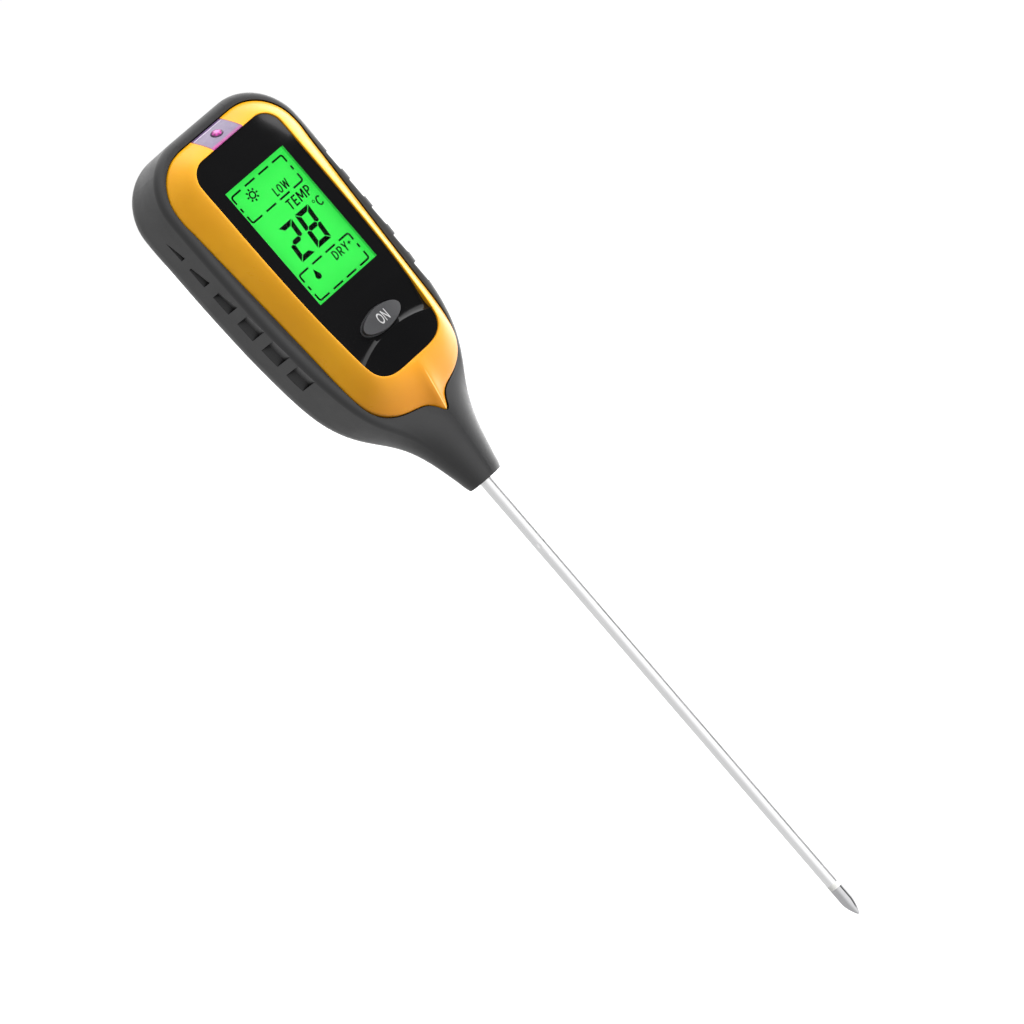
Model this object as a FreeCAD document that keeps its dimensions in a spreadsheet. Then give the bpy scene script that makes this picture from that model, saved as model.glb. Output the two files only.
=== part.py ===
import FreeCAD, Part
import Sketcher
import math
import os
from FreeCAD import Vector

# Hand-held digital soil meter: a case on a narrowing neck, with a long probe.
# +Z points up the case, the display faces -Y, +X is on the right as the display is
# read.  The origin is on the probe's axis, where the probe leaves the neck.

os.makedirs("parts", exist_ok=True)
doc = FreeCAD.newDocument("soil_moisture_meter")

# ---------------------------------------------------------------- dimensions
sheet = doc.addObject("Spreadsheet::Sheet", "Dims")
DIMENSIONS = [
    ("case_top", 150.5, "height of the case above the origin"),
    ("case_half", 31.75, "half width of the case"),
    ("case_front", 9.5, "front rim of the case is this far in front of the axis"),
    ("case_back", 19.1, "back of the case is this far behind the axis"),
    ("corner_top", 20.0, "radius of the case's upper corners seen from the front"),
    ("round_front", 3.0, "rounding of the front rim"),
    ("round_back", 9.0, "rounding of the back"),
    ("wall", 2.2, "wall thickness of the case"),
    ("parting", 13.0, "plane between the main housing and the rear cover"),
    ("parting_gap", 0.22, "visible gap at that plane"),
    ("land_rise", 0.4, "raised flat land on the back"),
    ("land_w", 44.0, "width of that land"),
    ("land_low", 47.0, "lower end of that land"),
    ("land_high", 136.0, "upper end of that land"),
    ("face_y", 16.5, "face panel is this far in front of the axis"),
    ("panel_t", 1.6, "face panel thickness"),
    ("panel_gap", 0.15, "gap round the face panel"),
    ("lcd_w", 28.6, "visible display width"),
    ("lcd_low", 79.2, "lower edge of the visible display"),
    ("lcd_high", 126.4, "upper edge of the visible display"),
    ("window_gap", 0.04, "gap round the display window"),
    ("key_z", 63.0, "height of the power key's centre"),
    ("key_w", 17.3, "width of the power key"),
    ("key_tall", 7.6, "height of the power key"),
    ("key_gap", 0.16, "gap round the power key"),
    ("key_rise", 1.3, "crown of the power key in front of the panel"),
    ("tube_r", 2.5, "probe tube outer radius"),
    ("groove_r", 2.28, "radius of the retaining groove just inside the neck"),
    ("tube_bore", 2.0, "probe tube inner radius"),
    ("tube_end", 177.0, "probe tube ends this far below the origin"),
    ("ring_len", 1.9, "insulating ring length"),
    ("tip_len", 5.8, "straight part of the probe tip"),
    ("cone_len", 5.9, "pointed part of the probe tip"),
    ("tip_round", 0.7, "radius at the point"),
    ("core_r", 0.6, "inner conductor radius"),
    ("liner_r", 1.2, "liner outer radius"),
    ("liner_bore", 0.64, "liner inner radius"),
    ("bush_r", 4.5, "neck bush outer radius"),
    ("bush_top", 10.0, "neck bush upper end"),
    ("bush_nose", 0.1, "neck bush sits this far inside the end of the neck"),
    ("collar_r", 5.4, "probe retaining collar radius"),
    ("collar_t", 4.4, "probe retaining collar height"),
    ("boss_r", 3.1, "case screw boss radius"),
    ("boss_x", 22.4, "case screw spacing from the centre, upper pair"),
    ("boss_low_x", 20.0, "the same, lower pair"),
    ("boss_high", 130.5, "upper pair of case screws"),
    ("boss_low", 47.0, "lower pair of case screws"),
    ("screw_r", 1.2, "case screw shank radius"),
    ("screw_head_r", 2.3, "case screw head radius"),
    ("board_y", 8.0, "front of the circuit board, in front of the axis"),
    ("board_t", 1.6, "circuit board thickness"),
    ("board_w", 42.0, "circuit board width"),
    ("board_low", 46.5, "circuit board lower edge"),
    ("board_high", 137.0, "circuit board upper edge"),
    ("glass_w", 32.4, "display glass width"),
    ("glass_low", 76.0, "display glass lower edge"),
    ("glass_high", 130.0, "display glass upper edge"),
    ("glass_t", 1.1, "display glass thickness"),
    ("light_t", 2.5, "backlight thickness"),
    ("door_w", 32.8, "battery door width"),
    ("door_low", 41.5, "battery door lower end"),
    ("door_high", 110.0, "battery door upper end"),
    ("door_t", 1.9, "battery door thickness"),
    ("door_gap", 0.14, "gap round the battery door"),
    ("tongue_w", 1.1, "door tongues stand out this far at each side"),
    ("battery_w", 26.2, "battery width"),
    ("battery_d", 17.2, "battery thickness"),
    ("battery_h", 46.2, "battery can height"),
    ("battery_low", 52.6, "lower end of the battery"),
    ("battery_back", 15.9, "back of the battery"),
]
for row, (alias, number, note) in enumerate(DIMENSIONS, start=1):
    sheet.set("A%d" % row, alias)
    sheet.set("B%d" % row, repr(number))
    sheet.set("C%d" % row, note)
    sheet.setAlias("B%d" % row, alias)

# Horizontal sections of the case below its straight part: height, half width, front,
# back, and how round the section is (0 rounded rectangle, 1 ellipse).
SECTIONS = [
    (0.0, 6.40, 6.40, 6.40, 1.0), (1.0, 6.80, 6.80, 6.80, 1.0),
    (4.0, 7.50, 7.50, 7.50, 1.0), (8.0, 8.45, 8.40, 8.40, 1.0),
    (12.0, 9.45, 9.25, 9.40, 1.0), (16.0, 10.65, 10.05, 10.30, 0.97),
    (20.0, 12.10, 10.65, 11.30, 0.90), (24.0, 13.90, 10.95, 12.50, 0.80),
    (28.0, 16.20, 10.90, 13.90, 0.65), (32.0, 19.00, 10.55, 15.40, 0.50),
    (36.0, 21.60, 10.10, 16.80, 0.35), (40.0, 23.70, 9.78, 17.80, 0.22),
    (44.0, 25.30, 9.60, 18.45, 0.12), (49.0, 26.80, 9.50, 18.90, 0.04),
    (55.0, 28.10, 9.50, 19.08, 0.0), (62.0, 29.20, 9.50, 19.10, 0.0),
    (70.0, 30.05, 9.50, 19.10, 0.0), (80.0, 30.85, 9.50, 19.10, 0.0),
    (90.0, 31.30, 9.50, 19.10, 0.0), (100.0, 31.60, 9.50, 19.10, 0.0),
    (110.0, 31.72, 9.50, 19.10, 0.0), (120.0, 31.75, 9.50, 19.10, 0.0),
]

# Outline of the bezel from the point of its tail up to its top right corner:
# outer edge x, z, the matching inner edge x, z, and how far the outer edge is drawn
# forward of the rim plane.
OUTLINE = [
    (0.0, 26.2, 0.0, 46.2, 1.35), (0.75, 26.75, 0.6, 46.2, 1.32),
    (1.7, 28.2, 1.4, 46.2, 1.24), (3.1, 30.15, 2.6, 46.2, 1.10),
    (5.2, 31.8, 4.2, 46.2, 0.92), (8.4, 32.95, 6.2, 46.22, 0.70),
    (12.6, 34.25, 8.6, 46.38, 0.48), (16.4, 36.2, 11.1, 46.85, 0.30),
    (19.5, 38.9, 13.3, 47.85, 0.16), (21.9, 42.5, 15.1, 49.4, 0.06),
    (23.4, 47.0, 16.35, 51.6, 0.0), (24.25, 52.0, 17.05, 54.6, 0.0),
    (24.8, 58.0, 17.6, 59.0, 0.0), (25.2, 66.0, 18.25, 66.4, 0.0),
    (25.62, 74.0, 18.85, 74.2, 0.0), (26.15, 83.0, 19.3, 83.0, 0.0),
    (26.82, 94.0, 19.6, 94.0, 0.0), (27.53, 105.0, 19.75, 105.0, 0.0),
    (28.28, 117.0, 19.8, 116.5, 0.0), (28.78, 124.5, 19.8, 125.0, 0.0),
]


def write_table(columns, rows):
    for index, entries in enumerate(rows, start=1):
        for column, entry in zip(columns, entries):
            sheet.set("%s%d" % (column, index), repr(entry))


def read_table(columns, count):
    return [tuple(float(sheet.get("%s%d" % (column, index))) for column in columns)
            for index in range(1, count + 1)]


write_table("EFGHI", SECTIONS)
write_table("KLMNO", OUTLINE)
doc.recompute()
sections = read_table("EFGHI", len(SECTIONS))
outline = read_table("KLMNO", len(OUTLINE))


class Size:
    """A size: its number, and the sheet expression that gives it."""

    def __init__(self, number, text):
        self.number = float(number)
        self.text = text

    def __add__(self, other):
        other = as_size(other)
        return Size(self.number + other.number, "(%s + %s)" % (self.text, other.text))

    def __sub__(self, other):
        other = as_size(other)
        return Size(self.number - other.number, "(%s - %s)" % (self.text, other.text))

    def __mul__(self, other):
        other = as_size(other)
        return Size(self.number * other.number, "(%s * %s)" % (self.text, other.text))

    def __neg__(self):
        return Size(-self.number, "(0 - %s)" % self.text)


def as_size(entry):
    if isinstance(entry, Size):
        return entry
    number = float(entry)
    return Size(number, "%.6f" % number if number >= 0 else "(0 - %.6f)" % -number)


def value(alias):
    """A driving dimension as a plain number."""
    return float(sheet.get(alias))


def dim(alias):
    """A driving dimension as a Size, for features bound to the sheet."""
    return Size(value(alias), "Dims." + alias)


def bind(obj, prop, size):
    obj.setExpression(prop, as_size(size).text)


# ---------------------------------------------------------------- PartDesign helpers
def new_body(label):
    return doc.addObject("PartDesign::Body", label)


def origin_plane(body, role):
    for plane in body.Origin.OriginFeatures:
        if plane.Role == role:
            return plane
    raise RuntimeError(role)


def new_sketch(body, name, role, offset=0.0):
    """A sketch offset along its plane's normal: -Y for XZ_Plane, +Z for XY_Plane."""
    sketch = body.newObject("Sketcher::SketchObject", name)
    sketch.AttachmentSupport = [(origin_plane(body, role), "")]
    sketch.MapMode = "FlatFace"
    size = as_size(offset)
    sketch.AttachmentOffset = FreeCAD.Placement(Vector(0, 0, size.number), FreeCAD.Rotation())
    bind(sketch, "AttachmentOffset.Base.z", size)
    return sketch


def fix_point(sketch, geometry, end, x, y):
    """Hold a point at x, y; a zero coordinate puts it on the axis instead."""
    for kind, size, axis in (("DistanceX", as_size(x), -2), ("DistanceY", as_size(y), -1)):
        if abs(size.number) < 1e-9:
            sketch.addConstraint(Sketcher.Constraint("PointOnObject", geometry, end, axis))
        else:
            index = sketch.addConstraint(
                Sketcher.Constraint(kind, -1, 1, geometry, end, size.number))
            bind(sketch, "Constraints[%d]" % index, size)


def join_ends(sketch, chain):
    """Tie each curve's end to the start of the next one, all the way round."""
    for index, curve in enumerate(chain):
        following = chain[(index + 1) % len(chain)]
        sketch.addConstraint(Sketcher.Constraint("Coincident", curve, 2, following, 1))


def add_lines(sketch, points):
    """A closed chain of straight lines; returns their indices."""
    corners = [Vector(as_size(x).number, as_size(y).number, 0) for x, y in points]
    lines = [sketch.addGeometry(Part.LineSegment(start, end), False)
             for start, end in zip(corners, corners[1:] + corners[:1])]
    join_ends(sketch, lines)
    return lines


def add_rect(sketch, x_min, x_max, y_min, y_max):
    lines = add_lines(sketch, [(x_min, y_min), (x_max, y_min), (x_max, y_max), (x_min, y_max)])
    for line, direction in zip(lines, ("Horizontal", "Vertical", "Horizontal", "Vertical")):
        sketch.addConstraint(Sketcher.Constraint(direction, line))
    fix_point(sketch, lines[0], 1, x_min, y_min)
    fix_point(sketch, lines[2], 1, x_max, y_max)


def add_polygon(sketch, points):
    for line, (x, y) in zip(add_lines(sketch, points), points):
        fix_point(sketch, line, 1, x, y)


def add_circle(sketch, x, y, radius):
    x, y, radius = as_size(x), as_size(y), as_size(radius)
    centre = Vector(x.number, y.number, 0)
    circle = sketch.addGeometry(Part.Circle(centre, Vector(0, 0, 1), radius.number), False)
    index = sketch.addConstraint(Sketcher.Constraint("Radius", circle, radius.number))
    bind(sketch, "Constraints[%d]" % index, radius)
    fix_point(sketch, circle, 3, x, y)


def add_extrusion(kind, body, name, sketch, length):
    extrusion = body.newObject(kind, name)
    extrusion.Profile = sketch
    extrusion.Length = as_size(length).number
    bind(extrusion, "Length", length)
    body.Tip = extrusion
    return extrusion


def pad(body, name, sketch, length):
    add_extrusion("PartDesign::Pad", body, name, sketch, length)


def pocket(body, name, sketch, length, reverse=False):
    doc.recompute()
    before = body.Shape.Volume
    add_extrusion("PartDesign::Pocket", body, name, sketch, length).Reversed = reverse
    doc.recompute()
    if body.Shape.Volume >= before - 1e-6:
        raise RuntimeError("pocket cuts nothing: " + name)


def revolve(body, name, sketch):
    """A full turn about the probe's axis."""
    turned = body.newObject("PartDesign::Revolution", name)
    turned.Profile = sketch
    turned.ReferenceAxis = (sketch, ["V_Axis"])
    turned.Angle = 360.0
    body.Tip = turned


def plate_body(label, x_min, x_max, z_min, z_max, back, depth):
    """A plate standing in the XZ plane: its rear face is `back` in front of the axis."""
    body = new_body(label)
    sketch = new_sketch(body, label + "_outline", "XZ_Plane", back)
    add_rect(sketch, x_min, x_max, z_min, z_max)
    pad(body, label + "_plate", sketch, depth)
    return body


def turned_body(label, sketch_name, turned_name, points):
    """A ring turned about the probe's axis from a section of x, z points."""
    body = new_body(label)
    sketch = new_sketch(body, sketch_name, "XZ_Plane")
    add_polygon(sketch, points)
    revolve(body, turned_name, sketch)
    return body


def round_body(label, sketch_name, pad_name, bottom, radii, length):
    """A rod or sleeve standing on the probe's axis."""
    body = new_body(label)
    sketch = new_sketch(body, sketch_name, "XY_Plane", bottom)
    for radius in radii:
        add_circle(sketch, 0, 0, radius)
    pad(body, pad_name, sketch, length)
    return body


# ---------------------------------------------------------------- shape helpers
ALONG_X, ALONG_Y, ALONG_Z = Vector(1, 0, 0), Vector(0, 1, 0), Vector(0, 0, 1)
pieces = []


def add_piece(label, shape):
    """Put a finished shape in the document as a piece to be exported."""
    obj = doc.addObject("Part::Feature", label)
    obj.Shape = shape
    obj.Placement = FreeCAD.Placement()
    pieces.append(obj)


def box(x_min, x_max, y_min, y_max, z_min, z_max):
    return Part.makeBox(x_max - x_min, y_max - y_min, z_max - z_min,
                        Vector(x_min, y_min, z_min))


def rod(radius, start, direction, length):
    return Part.makeCylinder(radius, length, start, direction)


def mirrored(shape):
    """The same shape on the other side of the YZ plane."""
    return shape.mirror(Vector(0, 0, 0), Vector(1, 0, 0))


def edges_along(shape, axis):
    """The edges that start off parallel to an axis."""
    return [edge for edge in shape.Edges
            if abs(edge.tangentAt(edge.FirstParameter).dot(axis)) > 0.99]


def curve_through(points, **options):
    curve = Part.BSplineCurve()
    curve.interpolate(Points=points, **options)
    return curve


def surface_through(rows, row_params, cross_params, closed=False):
    """A smooth surface through rows of points, the same parameters on every row."""
    curves = [curve_through(row, PeriodicFlag=closed, Parameters=row_params) for row in rows]
    poles = [curve.getPoles() for curve in curves]
    across = [curve_through([row[index] for row in poles], Parameters=cross_params)
              for index in range(len(poles[0]))]
    first, first_across = curves[0], across[0]
    surface = Part.BSplineSurface()
    surface.buildFromPolesMultsKnots(
        [curve.getPoles() for curve in across],
        first.getMultiplicities(), first_across.getMultiplicities(),
        first.getKnots(), first_across.getKnots(),
        closed, False, first.Degree, first_across.Degree)
    return surface


def sewn_solid(faces):
    shell = Part.makeShell(faces)
    shell.sewShape()
    solid = Part.makeSolid(shell)
    if solid.Volume < 0:
        solid.reverse()
    return solid


def running_lengths(points):
    """Distance along a chain of 2D points, from its start to each point."""
    lengths = [0.0]
    for (x, y), (next_x, next_y) in zip(points, points[1:]):
        lengths.append(lengths[-1] + math.hypot(next_x - x, next_y - y))
    return lengths


# ---------------------------------------------------------------- case surface
CASE_FRONT, CASE_BACK = value("case_front"), value("case_back")
CASE_HALF, CASE_TOP = value("case_half"), value("case_top")
FRONT_ROUND, BACK_ROUND = value("round_front"), value("round_back")
TOP_CORNER, WALL = value("corner_top"), value("wall")

# Where points lie along each flat run of a half section, as shares of its length.
FRONT_SHARES = (0, .28, .52, .71, .85, .945, .985)
SIDE_SHARES = (0, .05, .16, .36, .64, .84, .95)
BACK_SHARES = (0, .02, .07, .18, .36, .6, .82, 1.0)
FRONT_STEPS, BACK_STEPS = 8, 10  # points round the front and back roundings
RUN_STARTS = (0, 7, 15, 22, 32)  # the first point of each run and rounding
PATCH_ROWS = (0, 6, 11, 16, 20, 28)  # sections at which the surface is divided
# Rows of the rounded top, as angles round its upper corners.
TOP_ANGLES = (0, 10, 20, 28, 36, 43, 50, 55, 60, 64, 68, 72, 76, 80, 84, 88.14)


def half_section(half_width, front, back, front_round, back_round, corner=0.0, depth=None):
    """Half of one horizontal section, from its front centre to its back centre.

    In the rounded top, depth is the distance below the top of the case."""
    def reach(inset):
        if depth is None:
            return half_width - inset
        return (half_width - corner) + math.sqrt(
            max((corner - inset) ** 2 - (corner - depth) ** 2, 0.0))

    front_cut = front_round if depth is None else min(depth, front_round)
    back_cut = back_round if depth is None else min(depth, back_round)
    front_angle = math.acos(1 - front_cut / front_round)
    back_angle = math.acos(1 - back_cut / back_round)
    x = reach(front_cut)
    y = front + front_round - front_round * math.sin(front_angle)
    points = [(x * share, y) for share in FRONT_SHARES]
    for step in range(FRONT_STEPS):
        angle = front_angle * (1 - step / FRONT_STEPS)
        points.append((reach(front_round * (1 - math.cos(angle))),
                       front + front_round - front_round * math.sin(angle)))
    x = reach(0.0)
    side_length = back - back_round - front - front_round
    points += [(x, front + front_round + side_length * share) for share in SIDE_SHARES]
    for step in range(BACK_STEPS):
        angle = back_angle * step / BACK_STEPS
        points.append((reach(back_round * (1 - math.cos(angle))),
                       back - back_round + back_round * math.sin(angle)))
    x = reach(back_cut)
    y = back - back_round + back_round * math.sin(back_angle)
    return points + [(x * (1 - share), y) for share in BACK_SHARES]


reference = running_lengths(
    half_section(CASE_HALF - 0.25, -CASE_FRONT, CASE_BACK, FRONT_ROUND, BACK_ROUND))
FRACTIONS = [length / reference[-1] for length in reference]


def toward_ellipse(points, half_width, front, back, blend):
    """Move a half section toward the ellipse with the same extents."""
    middle, half_depth = (front + back) / 2, (back - front) / 2
    return [((1 - blend) * x + blend * half_width * math.sin(math.pi * fraction),
             (1 - blend) * y + blend * (middle - half_depth * math.cos(math.pi * fraction)))
            for (x, y), fraction in zip(points, FRACTIONS)]


def case_rows(inset):
    """Closed rows of points round the case, and their heights."""
    rows, heights = [], []
    front_round, back_round = max(FRONT_ROUND - inset, 0.6), BACK_ROUND - inset
    for height, half, front, back, blend in sections:
        cut = inset * (1.25 if blend > 0.2 else 1.0)
        extents = (half - cut, -front + cut, back - cut)
        points = half_section(*extents, front_round, back_round)
        if blend > 0:
            points = toward_ellipse(points, *extents, blend)
        rows.append(points)
        heights.append(height)
    top, corner = CASE_TOP - inset, TOP_CORNER - inset
    for degrees in TOP_ANGLES:
        height = top - corner + corner * math.sin(math.radians(degrees))
        rows.append(half_section(CASE_HALF - inset, -CASE_FRONT + inset, CASE_BACK - inset,
                                 front_round, back_round, corner, top - height))
        heights.append(height)
    closed = [[Vector(x, y, height) for x, y in row]
              + [Vector(-x, y, height) for x, y in row[-2:0:-1]]
              for row, height in zip(rows, heights)]
    return closed, heights


def case_solid(inset):
    """The case's outer form, or the same form shrunk by inset."""
    rows, heights = case_rows(inset)
    round_params = FRACTIONS + [2 - share for share in FRACTIONS[-2:0:-1]] + [2.0]
    side_point = len(FRACTIONS) // 2
    up_params = [0.0]
    for lower, upper in zip(rows, rows[1:]):
        rise = (upper[side_point] - lower[side_point]).Length
        up_params.append(up_params[-1] + max(rise, 0.3))
    # One smooth surface, divided along its own lines into patches.
    whole = surface_through(rows, round_params, up_params, closed=True)
    whole.setUNotPeriodic()
    round_cuts = [FRACTIONS[index] for index in RUN_STARTS] + [1.0]
    round_cuts += [2.0 - cut for cut in round_cuts[-2::-1]]
    up_cuts = [up_params[index] for index in PATCH_ROWS] + [up_params[-1]]
    side, rims = [], {heights[0]: [], heights[-1]: []}
    for round_from, round_to in zip(round_cuts, round_cuts[1:]):
        for up_from, up_to in zip(up_cuts, up_cuts[1:]):
            patch = whole.copy()
            patch.segment(round_from, round_to, up_from, up_to)
            face = patch.toShape()
            side.append(face)
            for edge in face.Edges:
                start = edge.valueAt(edge.FirstParameter).z
                middle = edge.valueAt((edge.FirstParameter + edge.LastParameter) / 2).z
                for level in rims:
                    if abs(start - level) < 1e-5 and abs(middle - level) < 1e-5:
                        rims[level].append(edge)
    caps = [Part.Face(Part.Wire(Part.__sortEdges__(edges))) for edges in rims.values()]
    return sewn_solid(side + caps)


def half_width_at(z):
    """Half width of the case at a height, straight between the sections."""
    stations = [(section[0], section[1]) for section in sections]
    for (low, low_half), (high, high_half) in zip(stations, stations[1:]):
        if low <= z <= high:
            return low_half + (high_half - low_half) * (z - low) / (high - low)
    return stations[-1][1]


# ---------------------------------------------------------------- bezel outline
BEZEL_TOP, PANEL_TOP = 146.5, 139.5
BEZEL_CORNER, BEZEL_CORNER_X = 17.0, 12.0  # radius and centre of the outer corner
PANEL_CORNER, PANEL_CORNER_X = 7.0, 12.8  # the same, inner corner
for degrees in (0, 15, 30, 45, 60, 75, 90):
    sine, cosine = math.sin(math.radians(degrees)), math.cos(math.radians(degrees))
    outline.append((BEZEL_CORNER_X + BEZEL_CORNER * cosine,
                    BEZEL_TOP - BEZEL_CORNER + BEZEL_CORNER * sine,
                    PANEL_CORNER_X + PANEL_CORNER * cosine,
                    PANEL_TOP - PANEL_CORNER + PANEL_CORNER * sine, 0.0))
for outer_x, inner_x in ((9.0, 9.6), (6.0, 6.4), (3.0, 3.2), (0.0, 0.0)):
    outline.append((outer_x, BEZEL_TOP, inner_x, PANEL_TOP, 0.0))

outer_run = running_lengths([entry[0:2] for entry in outline])
inner_run = running_lengths([entry[2:4] for entry in outline])
outline_run = [0.5 * (outside + inside) for outside, inside in zip(outer_run, inner_run)]
OUTLINE_PARAMS = [length / outline_run[-1] for length in outline_run]


def band_solid(profile, lift_limit):
    """A closed band whose section goes from the outer foot over the front to the inner
    foot.  The profile's first column runs from the outline's outer edge (0) to its inner
    edge (1), the second is y; points in front of lift_limit are drawn forward."""
    rows = []
    for share, y in profile:
        lift = 1.0 if y < lift_limit else 0.0
        rows.append([Vector(outer_x + share * (inner_x - outer_x),
                            y - lift * forward * (1 - share),
                            outer_z + share * (inner_z - outer_z))
                     for outer_x, outer_z, inner_x, inner_z, forward in outline])
    mean_width = 9.2
    across = running_lengths([(share * mean_width, y) for share, y in profile])
    front = surface_through(rows, OUTLINE_PARAMS, across).toShape()
    back = surface_through([rows[0], rows[-1]], OUTLINE_PARAMS, [0.0, 9.0]).toShape()
    return sewn_solid([front, back, mirrored(front), mirrored(back)])


def ring_points(share, away):
    """Right half of the outline at a share of the way in from its outer edge, moved
    outward by a distance."""
    points = [(outer_x + share * (inner_x - outer_x), outer_z + share * (inner_z - outer_z))
              for outer_x, outer_z, inner_x, inner_z, forward in outline]
    # The sharp tail of the outer edge moves further.
    moved = [(0.0, points[0][1] - away * (1.25 if share < 0.5 else 1.0))]
    for before, (x, z), after in zip(points, points[1:], points[2:]):
        run_x, run_z = after[0] - before[0], after[1] - before[1]
        length = math.hypot(run_x, run_z)
        moved.append((x + away * run_z / length, z - away * run_x / length))
    return moved + [(0.0, points[-1][1] + away)]


def outline_solid(share, away, y_start, y_end):
    """A straight slab between two y planes whose outline is ring_points(share, away)."""
    points = [Vector(x, y_start, z) for x, z in ring_points(share, away)]
    edge = curve_through(points, Parameters=OUTLINE_PARAMS).toShape()
    face = Part.Face(Part.Wire(Part.__sortEdges__([edge, mirrored(edge)])))
    return face.extrude(Vector(0, y_end - y_start, 0))


# ---------------------------------------------------------------- bezel, light window
# Sections for band_solid: share of the way in, y.
BEZEL_PROFILE = [
    (0.0, -7.3), (0.0, -8.0), (0.0, -8.75), (0.008, -9.15), (0.035, -9.52),
    (0.08, -9.95), (0.20, -11.08), (0.35, -12.5), (0.50, -13.85), (0.65, -15.1),
    (0.80, -16.2), (0.90, -16.82), (0.95, -17.05), (0.982, -17.08), (0.997, -16.93),
    (1.0, -16.6), (1.0, -15.6), (1.0, -14.0), (1.0, -11.0), (1.0, -8.25),
]
HOLLOW_PROFILE = [
    (0.17, -6.8), (0.17, -7.8), (0.17, -8.9), (0.20, -9.25), (0.28, -9.95),
    (0.40, -11.1), (0.55, -12.4), (0.70, -13.6), (0.79, -14.2), (0.83, -14.1),
    (0.84, -13.4), (0.84, -10.5), (0.84, -6.8),
]
# Posts behind the bezel that carry the circuit board: x, z.
POSTS = [(16.0, 135.2), (-16.0, 135.2), (13.0, 50.2), (-13.0, 50.2)]
BOARD_FRONT = -value("board_y")
BOARD_BACK = BOARD_FRONT + value("board_t")

# The light window fills the middle of the bezel's sloping top bar.
WINDOW_HALF, WINDOW_SIDE_GAP, WINDOW_DEPTH = 7.2, 0.06, 2.4
SLOPE = Vector(0, -0.673, 0.740)
SLOPE.normalize()
SENSOR_CENTRE = Vector(0, -13.6, 143.1)
SENSOR_RADIUS = 2.1


def window_space(gap=0.0):
    """The middle of the top bar, widened by a gap at each side."""
    return box(-WINDOW_HALF - gap, WINDOW_HALF + gap, -20.0, -5.0, 138.0, 150.0)


def sensor_bore(clearance):
    return rod(SENSOR_RADIUS + clearance, SENSOR_CENTRE - SLOPE * 4.0, SLOPE, 8.0)


def front_bezel(band, slab):
    hollow = band_solid(HOLLOW_PROFILE, -8.5)
    bezel = band.cut(hollow.cut(box(-10.5, 10.5, -20, 0, 137.0, 150.0)))
    ledge = outline_solid(1.0, 0.45, -13.2, -14.7).cut(
        outline_solid(1.0, -1.6, -13.0, -15.0))
    bezel = bezel.fuse(ledge)
    post_front = -13.3
    for x, z in POSTS:
        bezel = bezel.fuse(
            rod(2.2, Vector(x, post_front, z), ALONG_Y, BOARD_FRONT - post_front))
    for x, z in POSTS:
        bezel = bezel.cut(rod(0.85, Vector(x, -12.6, z), ALONG_Y, 6.0))
    seat = slab.common(window_space(WINDOW_SIDE_GAP))
    lead_opening = box(-2.0, 2.0, -12.2, -6.0, 139.0, 142.4)
    bezel = bezel.cut(seat).cut(sensor_bore(0.1)).cut(lead_opening)
    return bezel.removeSplitter()


def light_sensor():
    """A round can with a low lens, a cap of a larger sphere."""
    can = rod(SENSOR_RADIUS, SENSOR_CENTRE - SLOPE * 3.9, SLOPE, 4.1)
    lens_height, lens_crown = 0.8, 1.0
    lens_radius = (SENSOR_RADIUS ** 2 + lens_height ** 2) / (2 * lens_height)
    lens = Part.makeSphere(lens_radius, SENSOR_CENTRE + SLOPE * (lens_crown - lens_radius))
    lens = lens.common(rod(SENSOR_RADIUS, SENSOR_CENTRE + SLOPE * 0.1, SLOPE, 3.0))
    return can.fuse(lens).removeSplitter()


bezel_band = band_solid(BEZEL_PROFILE, -8.0)
# A block reaching from the back of the window out through the slope.
slope_slab = Part.makeBox(40, 40, WINDOW_DEPTH + 6.0, Vector(-20, -20, -WINDOW_DEPTH))
slope_slab.Placement = FreeCAD.Placement(Vector(0, -13.75, 143.05),
                                         FreeCAD.Rotation(ALONG_Z, SLOPE))
add_piece("front_bezel", front_bezel(bezel_band, slope_slab))
add_piece("light_window",
          bezel_band.common(slope_slab).common(window_space()).cut(sensor_bore(0.12)))
add_piece("light_sensor", light_sensor())

# ---------------------------------------------------------------- main housing
PARTING = value("parting")
SCREW_RADIUS, HEAD_RADIUS = value("screw_r"), value("screw_head_r")
HEAD_SEAT = 16.3  # y of the floor of the case screws' counterbores
BOSS_RADIUS = value("boss_r")
BOSSES = [(side * value(x_alias), value(z_alias))
          for x_alias, z_alias in (("boss_x", "boss_high"), ("boss_low_x", "boss_low"))
          for side in (1, -1)]

# Six grip notches on each side, V-shaped across and open to the outside: height of
# the centre, then y of the front edge and depth at the upper end, and the same two
# at the lower end.
NOTCHES = [
    (122.9, 2.85, 0.20, 0.10, 0.95), (111.7, 1.35, 0.55, -1.75, 1.25),
    (99.9, -1.9, 1.15, -4.6, 1.40), (88.2, -5.4, 1.4, -6.7, 1.45),
    (76.6, -6.7, 1.45, -7.2, 1.45), (65.2, -6.7, 1.45, -6.9, 1.45),
]
NOTCH_BACK, NOTCH_HEIGHT = 3.0, 7.5


def notch_outline(z, front, depth):
    side = half_width_at(z)
    outside = side + 3.0
    valley = NOTCH_BACK - (NOTCH_BACK - front) * 0.36
    points = [Vector(outside, front, z), Vector(side, front, z),
              Vector(side - depth, valley, z), Vector(side, NOTCH_BACK, z),
              Vector(outside, NOTCH_BACK, z)]
    return Part.makePolygon(points + [points[0]])


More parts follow.
